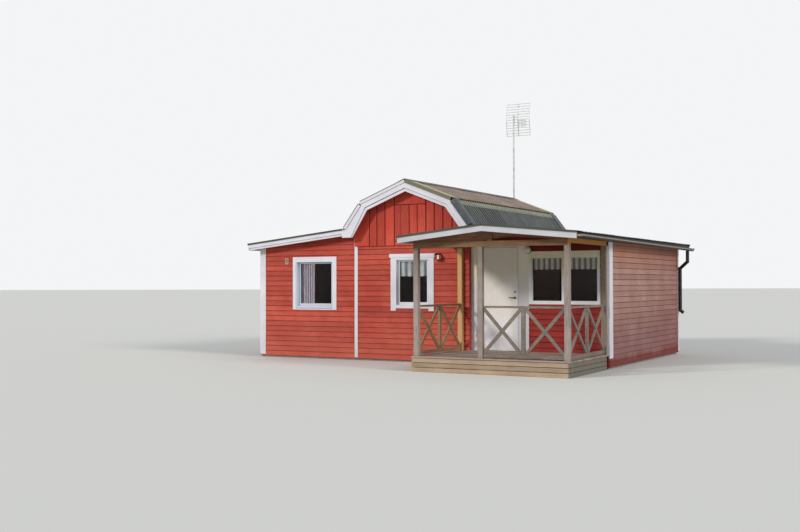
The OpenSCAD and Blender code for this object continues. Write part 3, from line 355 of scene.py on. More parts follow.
sunnedRed = ((184, 66, 50), (202, 90, 70), (130, 36, 28), (224, 142, 118))
paintWhite = ((222, 221, 230), (210, 208, 218), (166, 162, 166), (192, 184, 178))
boardLooks = {
    "redSiding": board(
        sunnedRed, "x", 0.6, wear=0.35,
        bands=[("Z", 0.9, 0.2, 0.35, (196, 104, 84))], laps=(0.6, (84, 22, 20)),
    ),
    "redPlain": board(((158, 62, 50), (172, 76, 62), (112, 40, 32), (196, 110, 92)), "x", 0.7, toneShare=0),
    "redGable": board(((192, 62, 46), (208, 82, 62), *sunnedRed[2:]), "z", 0.6),
    # painted shade: the backing panel and hatch seen in the open grooves are a darker red, for the shade in
    # the grooves
    "redGroove": board(((104, 30, 26), (120, 38, 30), (70, 20, 18), sunnedRed[3]), "z", 0.7),
    "redSide": board(
        ((166, 127, 117), (182, 147, 137), (120, 82, 74), (206, 176, 166)), "y", 0.7, toneShare=0.4,
        # painted light: warm sunlight towards the top of the side walls; the other bands darken towards the
        # bottom and towards the back
        bands=[
            ("Z", 1.9, 2.4, 0.5, (186, 112, 68)),
            ("Z", 1.1, 0.4, 0.7, (124, 82, 86)),
            ("Y", 0.6, 3.4, 0.4, (134, 72, 68)),
            ("Z", 0.26, 0.12, 0.9, (116, 44, 34)),
        ],
        laps=(0.65, (74, 40, 36)),
    ),
    "redBack": board(((180, 76, 60), (196, 102, 82), *sunnedRed[2:]), "x", 0.65, laps=(0.5, (84, 30, 26))),
    "redPorch": board(
        ((150, 36, 30), (166, 48, 38), (112, 24, 22), sunnedRed[3]), "x", 0.6, wear=0.15,
        # painted shade: the top band darkens the porch wall under the porch roof
        bands=[("Z", 2.0, 2.25, 0.75, (70, 14, 12))], laps=(0.6, (56, 10, 10)),
    ),
    "whiteUpright": painted(paintWhite, "z"),
    "whiteLevel": painted(paintWhite, "x"),
    "sashWhite": painted(
        paintWhite, "z",
        # painted shade: the sash inside the casing's step is tinted blue-grey, with a darker line at the step
        fields=[
            (-3.0635, -2.1325, 1.064, 2.055, 0.9, (122, 130, 146)),
            (-3.052, -2.144, 1.078, 2.043, 1.0, (196, 203, 218)),
        ],
    ),
    # painted shade: a dimmer copy of the white paint, for the porch fascia
    "whiteDull": painted(((198, 198, 206), (184, 184, 192), (136, 134, 136), (168, 162, 156)), "x"),
    "shadedTrim": painted(
        ((242, 244, 248), (230, 232, 234), (190, 188, 178), (214, 208, 192)), "z",
        bands=[("Z", 1.65, 2.1, 0.75, (202, 192, 142))],
    ),
    # painted shade: the door frame turns olive towards the top, under the porch roof
    "frameWhite": painted(paintWhite, "z", bands=[("Z", 1.1, 1.75, 0.6, (224, 218, 178))]),
    "doorPaint": board(
        ((242, 238, 234), (234, 230, 226), (206, 202, 196), (216, 210, 200)), "z", 0.45,
        wear=0.15, grainShare=0.1,
        # painted light: the upper part is olive-grey as shade under the porch roof, the lower part a bluer
        # white as sunlit
        bands=[("Z", 1.5, 1.9, 0.6, (196, 184, 156)), ("Z", 1.1, 0.7, 0.6, (230, 232, 246))],
    ),
    "greyUpright": weathered(
        ((152, 140, 134), (170, 158, 152), (84, 76, 72), (196, 188, 180)), "z", 0.7,
        bands=[
            ("Z", 1.6, 2.1, 0.45, (112, 98, 72)),
            ("Y", -2.4, -2.2, 0.8, (216, 170, 112), ("X", 2.5, 2.4)),
            ("Y", -2.4, -2.2, 0.6, (112, 92, 70), ("X", 2.4, 2.5)),
        ],
    ),
    "greyLevel": weathered(((174, 156, 144), (190, 172, 160), (84, 76, 72), (196, 188, 180)), "x", 0.45),
    "skirtBeige": weathered(
        ((170, 148, 126), (190, 168, 144), (112, 92, 76), (222, 202, 178)), "x", 0.4, toneShare=0.35,
        # painted shade: the right end of the skirts turns grey
        bands=[("X", 3.80, 3.82, 0.85, (106, 104, 96))],
    ),
    "braceGrey": weathered(((126, 114, 106), (144, 132, 122), (62, 56, 52), (174, 164, 154)), "x", 0.7),
    "braceOlive": weathered(((150, 122, 92), (168, 140, 110), (84, 62, 42), (196, 170, 140)), "y", 0.7),
    # partly painted light: the dark brown stands partly for the shade under the porch fascia, and the golden
    # band at the right end is painted sunlight
    "beamBrown": planed(
        ((120, 88, 62), (140, 108, 78), (72, 46, 34), (172, 140, 108)), "x", 0.7, bump=0.003,
        bands=[("X", 3.80, 3.82, 0.9, (192, 130, 54))],
    ),
    # partly painted shade: a darker copy of the inner timber for the decks over the porch, standing for the
    # shade under the roofs
    "deckBrown": planed(((120, 86, 54), (138, 102, 66), (72, 48, 30), (160, 124, 86)), "x", 0.7),
    "innerTimber": planed(((196, 164, 120), (206, 178, 138), (150, 112, 74), (220, 200, 170)), "y", 0.6),
    "floorTimber": planed(((176, 134, 88), (190, 150, 104), (130, 90, 54), (206, 176, 136)), "y", 0.45),
    "soffitBrown": planed(((150, 112, 78), (168, 132, 96), (96, 66, 44), (186, 156, 124)), "y", 0.7),
    # painted shade: the dark lines below the verge cap boards
    "jointGrey": board(((96, 98, 112), (110, 112, 124), (76, 78, 90), (140, 140, 148)), "x", 0.8),
    # painted shade: the right wing's eave board behind the gutter is near black, standing for the shade under
    # the eave
    "darkBoard": board(((48, 44, 42), (60, 56, 52), (30, 27, 26), (92, 86, 80)), "y", 0.6),
}


def roofFinish(name, look):
    finish, tree, shader = startFinish(name)
    everywhere = stretched(tree, (1, 1, 1))
    patches, lichen = cloud(everywhere, "patches", look.get("patch")), cloud(everywhere, "lichen")
    streaks, grit = cloud(stretched(tree, look["streakAlong"]), "streaks"), cloud(everywhere, "grit")
    colour = mixColour(spread(streaks, 0.35, 0.7), shade(look["colour"]), shade(look["streak"]))
    for where, low, high, key in ((patches, 0.46, 0.64, "patch"), (lichen, 0.6, 0.72, "lichen")):
        share = spread(where, low, high, 0, look[key + "Share"])
        colour = mixColour(share, colour, shade(look[key + "Colour"]))
    # painted shade in the corrugation troughs, from each face's tone
    if "valley" in look:
        colour = mixColour(spread(toneOf(tree), 0.3, 0.8), shade(look["valley"]), colour)
    for band in look["bands"]:
        colour = bandMix(colour, *band)
    for heights, facings, other in look["levels"]:
        share = spread(axesOf(placeOf(tree))["Z"], *heights)
        if facings:
            share = calc("MULTIPLY", share, spread(normalOf(tree)["Z"], *facings))
        colour = mixColour(share, colour, shade(other))
    if "fold" in look:
        colour = foldMix(colour, *look["fold"])
    rough = roughness(patches, look["gloss"], 0.25)
    endFinish(shader, colour, rough, grit, 0.002, {"Specular IOR Level": 0.3})
    return finish


mossy = dict(
    patchColour=(132, 138, 120), lichenColour=(168, 172, 140), lichenShare=0.4, gloss=0.6,
    streakAlong=(0.6, 9, 0.6), bands=(),
    levels=(),  # for each its heights, which way faces look, and the colour there
)
roofLooks = {
    # the darkest colour of each sheet is painted shade for its corrugation troughs
    "slateSheet": dict(
        mossy, colour=(120, 124, 126), streak=(90, 94, 102), valley=(16, 18, 22), patch=1.1, patchShare=0.45
    ),
    "paleSheet": dict(
        mossy, colour=(176, 180, 160), streak=(150, 156, 138), valley=(96, 100, 88),
        patch=1.4, patchShare=0.6, patchColour=(160, 166, 140),
        lichenColour=(196, 198, 168), lichenShare=0.6, gloss=0.65,
    ),
    "brownSheet": dict(
        mossy, colour=(150, 134, 124), streak=(112, 98, 90), valley=(92, 82, 76), patchShare=0.7, gloss=0.65,
        patchColour=(176, 158, 148), lichenColour=(182, 172, 150), lichenShare=0.5, streakAlong=(9, 0.4, 9),
    ),
    "capSheet": dict(mossy, colour=(104, 100, 98), streak=(78, 76, 76), patchShare=0.4, lichenShare=0.5),
    "edgeFlashing": dict(
        mossy, colour=(76, 80, 90), streak=(62, 66, 76), patchShare=0.3,
        bands=[("Y", -1.76, -1.72, 0.75, (106, 110, 110))],
        levels=[
            ((2.73, 2.70), None, (70, 72, 60)),
            ((3.18, 3.22), (0.3, 0.2), (112, 112, 94)),
            ((3.18, 3.22), (0.7, 0.85), (190, 180, 146)),
        ],
        fold=(-0.246, [(3.701, 0.387, 0.933), (4.679, 1.316, 0.605)], 0.018, (212, 211, 220)),
    ),
}


def metalFinish(name, look):
    finish, tree, shader = startFinish(name)
    everywhere = stretched(tree, (1, 1, 1))
    smears, brushing = cloud(everywhere, "smears"), cloud(everywhere, "brushing")
    colour = mixColour(spread(smears, 0.4, 0.7), shade(look["colour"]), shade(look["smear"]))
    if look["lip"]:
        colour = highlightLineMix(colour, *look["lip"])
    rough = roughness(smears, look["gloss"])
    endFinish(shader, colour, rough, brushing, look["bump"], {"Metallic": look["metal"]})
    return finish


def smooth(colour, smear, gloss, metal, bump=0.0004, lip=None):
    return dict(colour=colour, smear=smear, gloss=gloss, metal=metal, bump=bump, lip=lip)


gutterDrop, gutterHighlightLine = 0.040, (0.032, 0.014)  # how far it falls, and where a painted highlight runs below its edge
gutterLow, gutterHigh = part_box("gutter")
gutterFall = gutterDrop / (gutterHigh.y - gutterLow.y)
gutterEdge = gutterHigh.z + gutterFall * gutterLow.y
gutterHighlight = (gutterFall, *(gutterEdge - down for down in gutterHighlightLine), (156, 142, 128))
metalLooks = {
    # painted highlight: a pale line along the gutter's front
    "gutterLipped": smooth((34, 34, 33), (50, 48, 44), 0.45, 0.1, lip=gutterHighlight),
    "gutterBlack": smooth((28, 28, 30), (52, 52, 54), 0.25, 0.3),
    "doorSteel": smooth((120, 118, 114), (92, 88, 82), 0.3, 0.9),
    "hingePaint": smooth((190, 184, 172), (150, 138, 122), 0.45, 0.1),
    # painted highlight: the gutter's rim is pale grey
    "rimGrey": smooth((150, 146, 142), (112, 108, 106), 0.3, 0.4),
    "aerialZinc": smooth((186, 188, 190), (150, 152, 152), 0.35, 0.7),
    "lampDark": smooth((66, 54, 46), (92, 78, 66), 0.4, 0.2),
    "opalGlass": smooth((214, 214, 198), (196, 196, 178), 0.25, 0.0),
    "lanternPane": smooth((255, 214, 192), (244, 180, 154), 0.2, 0.0),
    "screwDark": smooth((44, 44, 44), (70, 66, 62), 0.5, 0.2),
    "lampBrown": smooth((122, 38, 32), (88, 28, 24), 0.35, 0.0),
    "ventBeige": smooth((206, 176, 148), (180, 150, 124), 0.5, 0.0),
    "plinth": smooth((150, 148, 144), (122, 120, 116), 0.9, 0.0, bump=0.002),
}


def glassFinish(name, look):
    finish, tree, shader = startFinish(name)
    ripple = cloud(stretched(tree, (1, 1, 1)), "ripple")
    colour = mixColour(ripple, shade(look["colour"]), shade(look["tint"]))
    rough = spread(ripple, 0.3, 0.7, 0.02, 0.06)
    endFinish(shader, colour, rough, ripple, 0.002, {"Transmission Weight": 1.0, "IOR": 1.2})
    return finish


def clothFinish(name, look):
    finish, tree, shader = startFinish(name)
    inputs = {"Vector": stretched(tree, (1, 1, 1)), "Scale": 320, "Distortion": 0.6}
    threads = [addNode(tree, "TexWave", inputs, bands_direction=axis).outputs["Fac"] for axis in "ZX"]
    weave = calc("ADD", *threads)
    folds = cloud(stretched(tree, (1, 1, 0.3)), "folds")
    shadow = shade(look["shadow"])
    # painted shade in the folds: streaks from the fold clouds and, by each face's tone, the fold valleys
    colour = mixColour(spread(folds, 0.35, 0.7, 0, 0.35), shade(look["colour"]), shadow)
    colour = mixColour(spread(toneOf(tree), 0.25, 0.9), colour, shadow)
    rough = spread(folds, 0.3, 0.7, 0.8, 0.95)
    endFinish(shader, colour, rough, weave, 0.0004, {"Sheen Weight": 0.2})
    return finish


clothLooks = {
    "mauveCloth": dict(colour=(214, 202, 222), shadow=(128, 112, 138)),
    "blueCloth": dict(colour=(128, 136, 160), shadow=(92, 98, 122)),
    "whiteCloth": dict(colour=(232, 236, 246), shadow=(134, 142, 150)),
    "greyCloth": dict(colour=(236, 228, 226), shadow=(132, 122, 112)),
}
glassLooks = {"windowPane": dict(colour=(240, 241, 238), tint=(232, 234, 230))}
finishes = {}
for makeFinish, looks in (
    (boardFinish, boardLooks),
    (roofFinish, roofLooks),
    (metalFinish, metalLooks),
    (clothFinish, clothLooks),
    (glassFinish, glassLooks),
):
    finishes.update({name: makeFinish(name, look) for name, look in looks.items()})
print("summer cottage:", len(finishes), "finishes mixed")

finishedNodes = {
    "plinth": "foundation",
    "floorTimber": "floor",
    "redPlain": "left_wing_front_wall left_wing_side_wall gable_front_wall door_infill_walls "
    "porch_window_wall right_side_wall back_wall",
    "redGroove": "gable_front_panel loft_hatch",
    "redGable": "rear_gable_panel",
    "innerTimber": "carrying_beams gambrel_upper_deck gambrel_lower_deck left_wing_deck",
    "deckBrown": "right_wing_deck porch_left_deck",
    "brownSheet": "gambrel_upper_sheets",
    "slateSheet": "gambrel_lower_sheets left_wing_sheets right_wing_sheets porch_left_sheets",
    "capSheet": "ridge_caps",
    "edgeFlashing": "verge_flashings",
    "whiteLevel": "bargeboards left_wing_fascias",
    "whiteDull": "porch_fascia",
    "darkBoard": "right_wing_fascias",
    "whiteUpright": "corner_boards gable_window_frames curtains",
    "sashWhite": "left_window_frame",
    "shadedTrim": "porch_window_frame",
    "windowPane": "window_glass",
    "frameWhite": "door_frame",
    "doorPaint": "door_leaf",
    "doorSteel": "door_handle",
    "hingePaint": "door_hinges hinge_pintles",
    "greyLevel": "porch_platform",
    "greyUpright": "porch_posts",
    "beamBrown": "porch_beams",
    "braceOlive": "left_railing",
    "braceGrey": "front_railing right_railing",
    "gutterLipped": "gutter",
    "gutterBlack": "downpipe",
    "lampBrown": "wall_lamps",
    "ventBeige": "vent_plate",
    "aerialZinc": "antenna_mast antenna_reflector",
}
easedNodes = (
    "bargeboards left_wing_fascias porch_fascia corner_boards left_window_frame gable_window_frames "
    "porch_window_frame door_frame porch_posts porch_beams left_railing front_railing right_railing"
)


def easeEdges(piece, width=0.003):  # planed corners on bare and painted boards
    eased = piece.modifiers.new("easedEdges", "BEVEL")
    eased.width = width
    eased.segments = 2
    eased.limit_method = "ANGLE"
    eased.angle_limit = math.radians(40)


for finishName, nodeNames in finishedNodes.items():
    for nodeName in nodeNames.split():
        cadNodes[nodeName].data.materials.clear()
        cadNodes[nodeName].data.materials.append(finishes[finishName])
for nodeName in easedNodes.split():
    easeEdges(cadNodes[nodeName])
print("summer cottage: finishes on the frame's pieces")


# Building with boards

house = {
    "gableWidth": 2.633,
    "depth": 5.022,
    "porchSetback": 0.110,
    "panelFoot": 2.370,
    "panelProud": 0.030,
    "leftUnderside": ((-2.454, 2.366), (0.0, 2.626)),  # lines in x and z under the roof boards
    "rightUnderside": ((2.633, 2.622), (5.419, 2.354)),
    "foot": (-0.063, 2.735),
    "knee": (0.3165, 3.235),
    "ridge": (1.3165, 3.622),
    "roofBoards": 0.060,
}
gableWidth, depth, setback, proud = (house[k] for k in ("gableWidth", "depth", "porchSetback", "panelProud"))
foot, knee, ridge = (house[k] for k in ("foot", "knee", "ridge"))
leftX = boxOf("left_wing_side_wall")[0][0]
rightX = boxOf("right_side_wall")[1][0]
dice = random.Random(41)

walls = {  # a place on a wall: along it, up it and out of it
    "front": lambda u, z, out: at(u, -out, z),
    "porch": lambda u, z, out: at(u, setback - out, z),
    "right": lambda u, z, out: at(rightX + out, u, z),
    "left": lambda u, z, out: at(leftX - out, u, z),
    "back": lambda u, z, out: at(u, depth + out, z),
    "rearPanel": lambda u, z, out: at(u, depth + proud + out, z),
    "frontPanel": lambda u, z, out: at(u, -proud - out, z),
}


def onLine(line, x):
    (x0, z0), (x1, z1) = line
    return z0 + (z1 - z0) * (x - x0) / (x1 - x0)


def newStack():
    return {"points": [], "faces": [], "tones": []}


def addFaces(stack, points, faces, tone=0.0):
    first = len(stack["points"])
    stack["points"] += points
    stack["faces"] += [[first + i for i in face] for face in faces]
    stack["tones"] += tone if isinstance(tone, list) else [tone] * len(faces)


def gridFaces(rows, wide):  # between the points of rows that are wide points long
    corners = [r * wide + c for r in range(rows - 1) for c in range(wide - 1)]
    return [[i, i + 1, i + wide + 1, i + wide] for i in corners]


def makePiece(name, stack, finish, body="house", smoothUnder=None):
    mesh = bpy.data.meshes.new(name)
    mesh.from_pydata(stack["points"], [], stack["faces"])
    tones = mesh.attributes.new("tone", "FLOAT", "FACE")
    tones.data.foreach_set("value", stack["tones"])
    shaped = bmesh.new()
    shaped.from_mesh(mesh)
    bmesh.ops.recalc_face_normals(shaped, faces=shaped.faces)
    shaped.to_mesh(mesh)
    shaped.free()
    if smoothUnder:
        mesh.polygons.foreach_set("use_smooth", [True] * len(mesh.polygons))
        mesh.set_sharp_from_angle(angle=math.radians(smoothUnder))
    piece = addObject(name, mesh)
    piece.data.materials.append(finishes[finish])
    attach(piece, body)
    return piece


def addPrism(stack, ends, tone=0.0):  # closed between two like outlines
    near, far = ends
    n = len(near)
    sides = [[i, (i + 1) % n, n + (i + 1) % n, n + i] for i in range(n)]
    addFaces(stack, near + far, sides + [list(range(n))[::-1], list(range(n, 2 * n))], tone)


def addSlab(stack, ring, y0, y1, tone=0.0):  # an outline in x and z, drawn out along y
    addPrism(stack, [[at(x, y, z) for x, z in ring] for y in (y0, y1)], tone)


def addLathe(stack, place, profile, steps=28):  # profile: radius and how far out; place: across, up and out
    turns = [2 * math.pi * k / steps for k in range(steps)]
    rings = [[(radius * math.cos(t), radius * math.sin(t), out) for t in turns] for radius, out in profile]
    points = [place(*spot) for ring in rings for spot in ring]
    faces = []
    for r in range(len(profile) - 1):
        for k in range(steps):
            i, j = steps * r + k, steps * r + (k + 1) % steps
            faces.append([i, j, j + steps, i + steps])
    last = steps * (len(profile) - 1)
    addFaces(stack, points, faces + [list(range(steps))[::-1], list(range(last, last + steps))])


def addBox(stack, low, high, tone=0.0, ease=0.002):  # a board with eased long edges
    (x0, y0, z0), (x1, y1, z1) = low, high
    size = (x1 - x0, y1 - y0, z1 - z0)
    longest = size.index(max(size))
    e = min(ease, min(size) / 3)
    a0, a1, b0, b1 = [(y0, y1, z0, z1), (x0, x1, z0, z1), (x0, x1, y0, y1)][longest]
    ring = [(a0 + e, b0), (a1 - e, b0), (a1, b0 + e), (a1, b1 - e)]
    ring += [(a1 - e, b1), (a0 + e, b1), (a0, b1 - e), (a0, b0 + e)]
    ends = []
    for end in ((x0, x1), (y0, y1), (z0, z1))[longest]:
        ends.append([at(*[(end, a, b), (a, end, b), (a, b, end)][longest]) for a, b in ring])
    addPrism(stack, ends, tone)


# Lapped boarding on the walls

siding = {
    "lowerEdge": 0.019,  # how far a board's lower edge stands out
    "upperEdge": 0.003,
    "ease": 0.003,
    "wander": 0.0012,
    "boardLength": 5.4,
    "shortest": 0.55,  # as a share of the board length
    "joint": 0.0007,
    "fromCorner": 0.006,
    "fromGable": 0.004,
    "fromPorch": 0.01,
    "leastHigh": (0.008, 0.004),  # at a stretch's higher and lower end
    "leastLong": 0.01,
}


def addLap(stack, place, u0, u1, z0, heights, tone):
    ends = []
    slack = dice.uniform(-1, 1) * siding["wander"]
    for u, h in ((u0, heights[0]), (u1, heights[1])):
        low = siding["lowerEdge"] + slack
        high = low + (siding["upperEdge"] - low) * h / lapPitch
        e = siding["ease"]
        outline = ((0, 0), (0, low - e), (e, low), (h, high), (h, 0))
        ends.append([place(u, z0 + slack + up, out) for up, out in outline])
    addPrism(stack, ends, tone)


def clearSpans(u0, u1, z0, z1, holes):  # stretches of one row that miss the holes, with their heights
    spans = [(u0, u1, z0, z1)]
    for hu0, hu1, hz0, hz1 in holes:
        if z1 <= hz0 or z0 >= hz1:
            continue
        kept = []
        for a, b, low, high in spans:
            if b <= hu0 or a >= hu1:
                kept.append((a, b, low, high))
                continue
            if a < hu0:
                kept.append((a, hu0, low, high))
            if hu1 < b:
                kept.append((hu1, b, low, high))
            if low < hz0:
                kept.append((max(a, hu0), min(b, hu1), low, hz0))
            elif high > hz1:
                kept.append((max(a, hu0), min(b, hu1), hz1, high))
        spans = kept
    return spans


def layRows(stack, side, u0, u1, topAt, holes):
    place, gap = walls[side], siding["joint"]
    leastTop, leastEnd = siding["leastHigh"]
    highest = max(topAt(u0), topAt(u1))
    for row in range(int((highest - lapFoot) / lapPitch) + 1):
        z0 = lapFoot + row * lapPitch
        joints = [u0]
        while joints[-1] < u1:
            length = siding["boardLength"] * dice.uniform(siding["shortest"], 1.0)
            joints.append(min(u1, joints[-1] + length))
        for a, b in zip(joints, joints[1:]):
            tone = dice.random()
            for s0, s1, low, high in clearSpans(a, b, z0, z0 + lapPitch, holes):
                tops = [min(high, topAt(s)) - low for s in (s0, s1)]
                if min(tops) < 0 < max(tops):  # the roof's line cuts this stretch
                    cut = s0 + (s1 - s0) * (tops[0] / (tops[0] - tops[1]))
                    s0, s1 = (s0, cut) if tops[0] > 0 else (cut, s1)
                    tops = [max(t, 0) for t in tops]
                if max(tops) > leastTop and s1 - s0 > siding["leastLong"]:
                    addLap(stack, place, s0 + gap, s1 - gap, low, [max(t, leastEnd) for t in tops], tone)


def around(node, inset):  # the outline of a node on the front, drawn in by inset
    (x0, _, z0), (x1, _, z1) = boxOf(node)
    return (x0 + inset, x1 - inset, z0 + inset, z1 - inset)


windowHoles = {  # the holes behind the casings
    "left": around("left_window_frame", 0.085),
    "gable": (0.976, 1.732, 1.150, 2.087),
    "rear": (0.901, 1.657, 1.150, 2.087),
    "porch": around("porch_window_frame", 0.012),
    "door": around("door_frame", 0.012),
}
underLeft, underRight, underPanel = (  # how high the boards reach
    lambda x: onLine(house["leftUnderside"], x),
    lambda x: onLine(house["rightUnderside"], x),
    lambda x: house["panelFoot"],
)
corner = siding["fromCorner"]
leftRun, rightEnd = (leftX + corner, 0.0, underLeft), rightX - corner
porchStart, rightStart = gableWidth + siding["fromGable"], setback + siding["fromPorch"]
boarding = {  # finish, then per run the wall, where it starts and ends, its top and its holes
    "frontSiding": (
        "redSiding",
        ("front", *leftRun, ["left"]),
        ("front", 0.0, gableWidth, underPanel, ["gable"]),
    ),
    "porchSiding": ("redPorch", ("porch", porchStart, rightEnd, underRight, ["porch", "door"])),
    "rightSiding": ("redSide", ("right", rightStart, depth - corner, lambda y: underRight(rightX), [])),
    "leftSiding": ("redSide", ("left", corner, depth - corner, lambda y: underLeft(leftX), [])),
    "backSiding": (
        "redBack",
        ("back", *leftRun, []),
        ("back", 0.0, gableWidth, underPanel, ["rear"]),
        ("back", gableWidth, rightEnd, underRight, []),
    ),
}
for name, (finishName, *runs) in boarding.items():
    boards = newStack()
    for side, u0, u1, topAt, holes in runs:
        layRows(boards, side, u0, u1, topAt, [windowHoles[hole] for hole in holes])
    makePiece(name, boards, finishName)
print("summer cottage: walls boarded")


# Upright boards in the gables, with open grooves between them

gablePanel = {
    "grooves": (0.367, 0.551, 0.744, 0.964, 1.694, 1.883, 2.077, 2.281),
    "rearGrooves": (0.352, 0.545, 0.737, 0.930, 1.122, 1.316, 1.509, 1.702, 1.894, 2.087, 2.281),
    "grooveWidth": 0.020,
    "boardOut": 0.020,
    "ease": 0.002,
    "endGap": 0.003,
    "underRoof": 0.004,
    "leastWide": 0.004,
    "leastHigh": (0.02, 0.002),  # at a board's higher and lower edge
    "aroundHatch": (3, 4),  # the grooves beside it, counted from nought
    "hatchGap": 0.012,
    "headOut": 0.004,
    "hatchOut": 0.002,
    "hatchFoot": 2.452,
    "hatchHead": 3.190,
    "headBoard": (3.204, 3.262),
    "hatchGrooves": ((1.108, 0.006), (1.312, 0.018), (1.496, 0.018)),  # where, and how wide
}


def gableTop(x):  # underside of the roof boards over the gable
    x = min(x, gableWidth - x)
    tops = []
    for a, b in ((foot, knee), (knee, ridge)):
        slope = (b[1] - a[1]) / (b[0] - a[0])
        tops.append(a[1] + slope * (x - a[0]) - house["roofBoards"] * math.hypot(1, slope))
    return min(tops) - gablePanel["underRoof"]


def addUpright(stack, place, u0, u1, low, tops, outer, tone):
    e = gablePanel["ease"]
    ring = [(u0, 0), (u1, 0), (u1, outer - e), (u1 - e, outer), (u0 + e, outer), (u0, outer - e)]
    heights = (lambda u: low, lambda u: onLine(((u0, tops[0]), (u1, tops[1])), u))
    addPrism(stack, [[place(u, height(u), out) for u, out in ring] for height in heights], tone)


def addUnderRoof(stack, place, u0, u1, low, out, tone):  # a board up to the roof, split where the roof turns
    narrow, (leastTop, leastEdge) = gablePanel["leastWide"], gablePanel["leastHigh"]
    for bend in (knee[0], ridge[0], gableWidth - knee[0]):
        if u0 + narrow < bend < u1 - narrow:
            addUnderRoof(stack, place, u0, bend, low, out, tone)
            addUnderRoof(stack, place, bend, u1, low, out, tone)
            return
    tops = [gableTop(u) for u in (u0, u1)]
    if max(tops) > low + leastTop:
        addUpright(stack, place, u0, u1, low, [max(top, low + leastEdge) for top in tops], out, tone)


def boardGable(side, grooves, hatch):
    look, place, stack = gablePanel, walls[side], newStack()
    half, out, low = look["grooveWidth"] / 2, look["boardOut"], house["panelFoot"]
    end = look["endGap"] - half
    edges = [end] + list(grooves) + [gableWidth - end]
    for a, b in zip(edges, edges[1:]):
        a, b, tone = a + half, b - half, dice.random()
        if hatch and a < (hatch[0] + hatch[1]) / 2 < b:  # above and below the hatch
            head = look["headBoard"]
            addUpright(stack, place, a, b, low, (look["hatchFoot"] - look["hatchGap"],) * 2, out, tone)
            addUpright(stack, place, a, b, head[0], (head[1],) * 2, out + look["headOut"], tone)
            addUnderRoof(stack, place, a, b, head[1] + 0.001, out, dice.random())
            continue
        addUnderRoof(stack, place, a, b, low, out, tone)
    return stack


def boardHatch(look):
    stack = newStack()
    edges = [(hatchSpan[0], 0)] + list(look["hatchGrooves"]) + [(hatchSpan[1], 0)]
    tops, out = (look["hatchHead"],) * 2, look["boardOut"] + look["hatchOut"]
    for (a, wideA), (b, wideB) in zip(edges, edges[1:]):
        ends = (a + wideA / 2, b - wideB / 2)
        addUpright(stack, walls["frontPanel"], *ends, look["hatchFoot"], tops, out, dice.random())
    return stack


hatchLeft, hatchRight = (gablePanel["grooves"][i] for i in gablePanel["aroundHatch"])
hatchSpan = (hatchLeft + gablePanel["grooveWidth"] / 2, hatchRight - gablePanel["grooveWidth"] / 2)
for name, boards in (
    ("gableBoards", boardGable("frontPanel", gablePanel["grooves"], hatchSpan)),
    ("rearGableBoards", boardGable("rearPanel", gablePanel["rearGrooves"], None)),
    ("hatchBoards", boardHatch(gablePanel)),
):
    makePiece(name, boards, "redGable")
print("summer cottage: gables and hatch boarded")


# Corrugated roof sheets

roofSheet = {
    "crest": 0.024,
    "thick": 0.004,
    "wave": 0.110,
    "wavesPerSheet": 9,
    "stepsPerWave": 10,
    "rowStep": 0.32,
    "sag": 0.0014,
    "overlap": 0.0025,
}
sheetLay = {
    "batten": 0.0422,
    "seat": 0.0002,
    "lip": 0.012,
    "ridgeGap": 0.004,
    "wallGap": 0.001,
    "kneeLip": 0.035,
    "rowLength": 0.155,
    "rowLap": 0.090,
    "kneeShort": 0.036,
    "leftFoot": 0.0045,  # how far the lower row ends above the node's foot
    "rightFoot": 0.0003,
    "screwEvery": 2,
    "screw": ((0.011, 0.0), (0.010, 0.004), (0.004, 0.006)),  # radius and how far out
    "screwSides": 7,
    "fillerSpan": (0.003, 0.021),
    "fillerSteps": 6,
    "fillerReach": 0.34,  # to each side of a crest, in waves
    "fillerGaps": (0.0004, 0.0006),  # below and above it
}
roofLines = {  # ends of the roof boards' tops in x and z
    "leftWing": ((-2.608, 2.445), (0.0, 2.722)),
    "rightWing": ((2.633, 2.718), (5.625, 2.430)),
    "porchLeft": ((2.236, 2.420), (3.896, 2.5964)),
}


def pointOn(line, x):
    return (x, onLine(line, x) + sheetLay["seat"])


def raised(a, b, up):
    length = math.dist(a, b)
    nx, nz = -(b[1] - a[1]) / length * up, (b[0] - a[0]) / length * up
    return (a[0] + nx, a[1] + nz), (b[0] + nx, b[1] + nz)


def farther(a, b, distance):  # from a towards b
    length = math.dist(a, b)
    return tuple(p + (q - p) * distance / length for p, q in zip(a, b))


def straight(p):
    return p


def mirrored(p):
    return (gableWidth - p[0], p[1])


def onSide(side, a, b):  # a slope's ends on one side of the roof, left one first
    return (mirrored(b), mirrored(a)) if side is mirrored else (a, b)


def slopePlace(a, b, hand=1):  # a place on a slope: along it from a, up from it
    along = farther((0, 0), (b[0] - a[0], b[1] - a[1]), 1)
    square = (-along[1] * hand, along[0] * hand)
    return lambda s, up: [a[i] + along[i] * s + square[i] * up for i in (0, 1)]


def waveCount(y0, y1):
    return round((y1 - y0) / roofSheet["wave"])


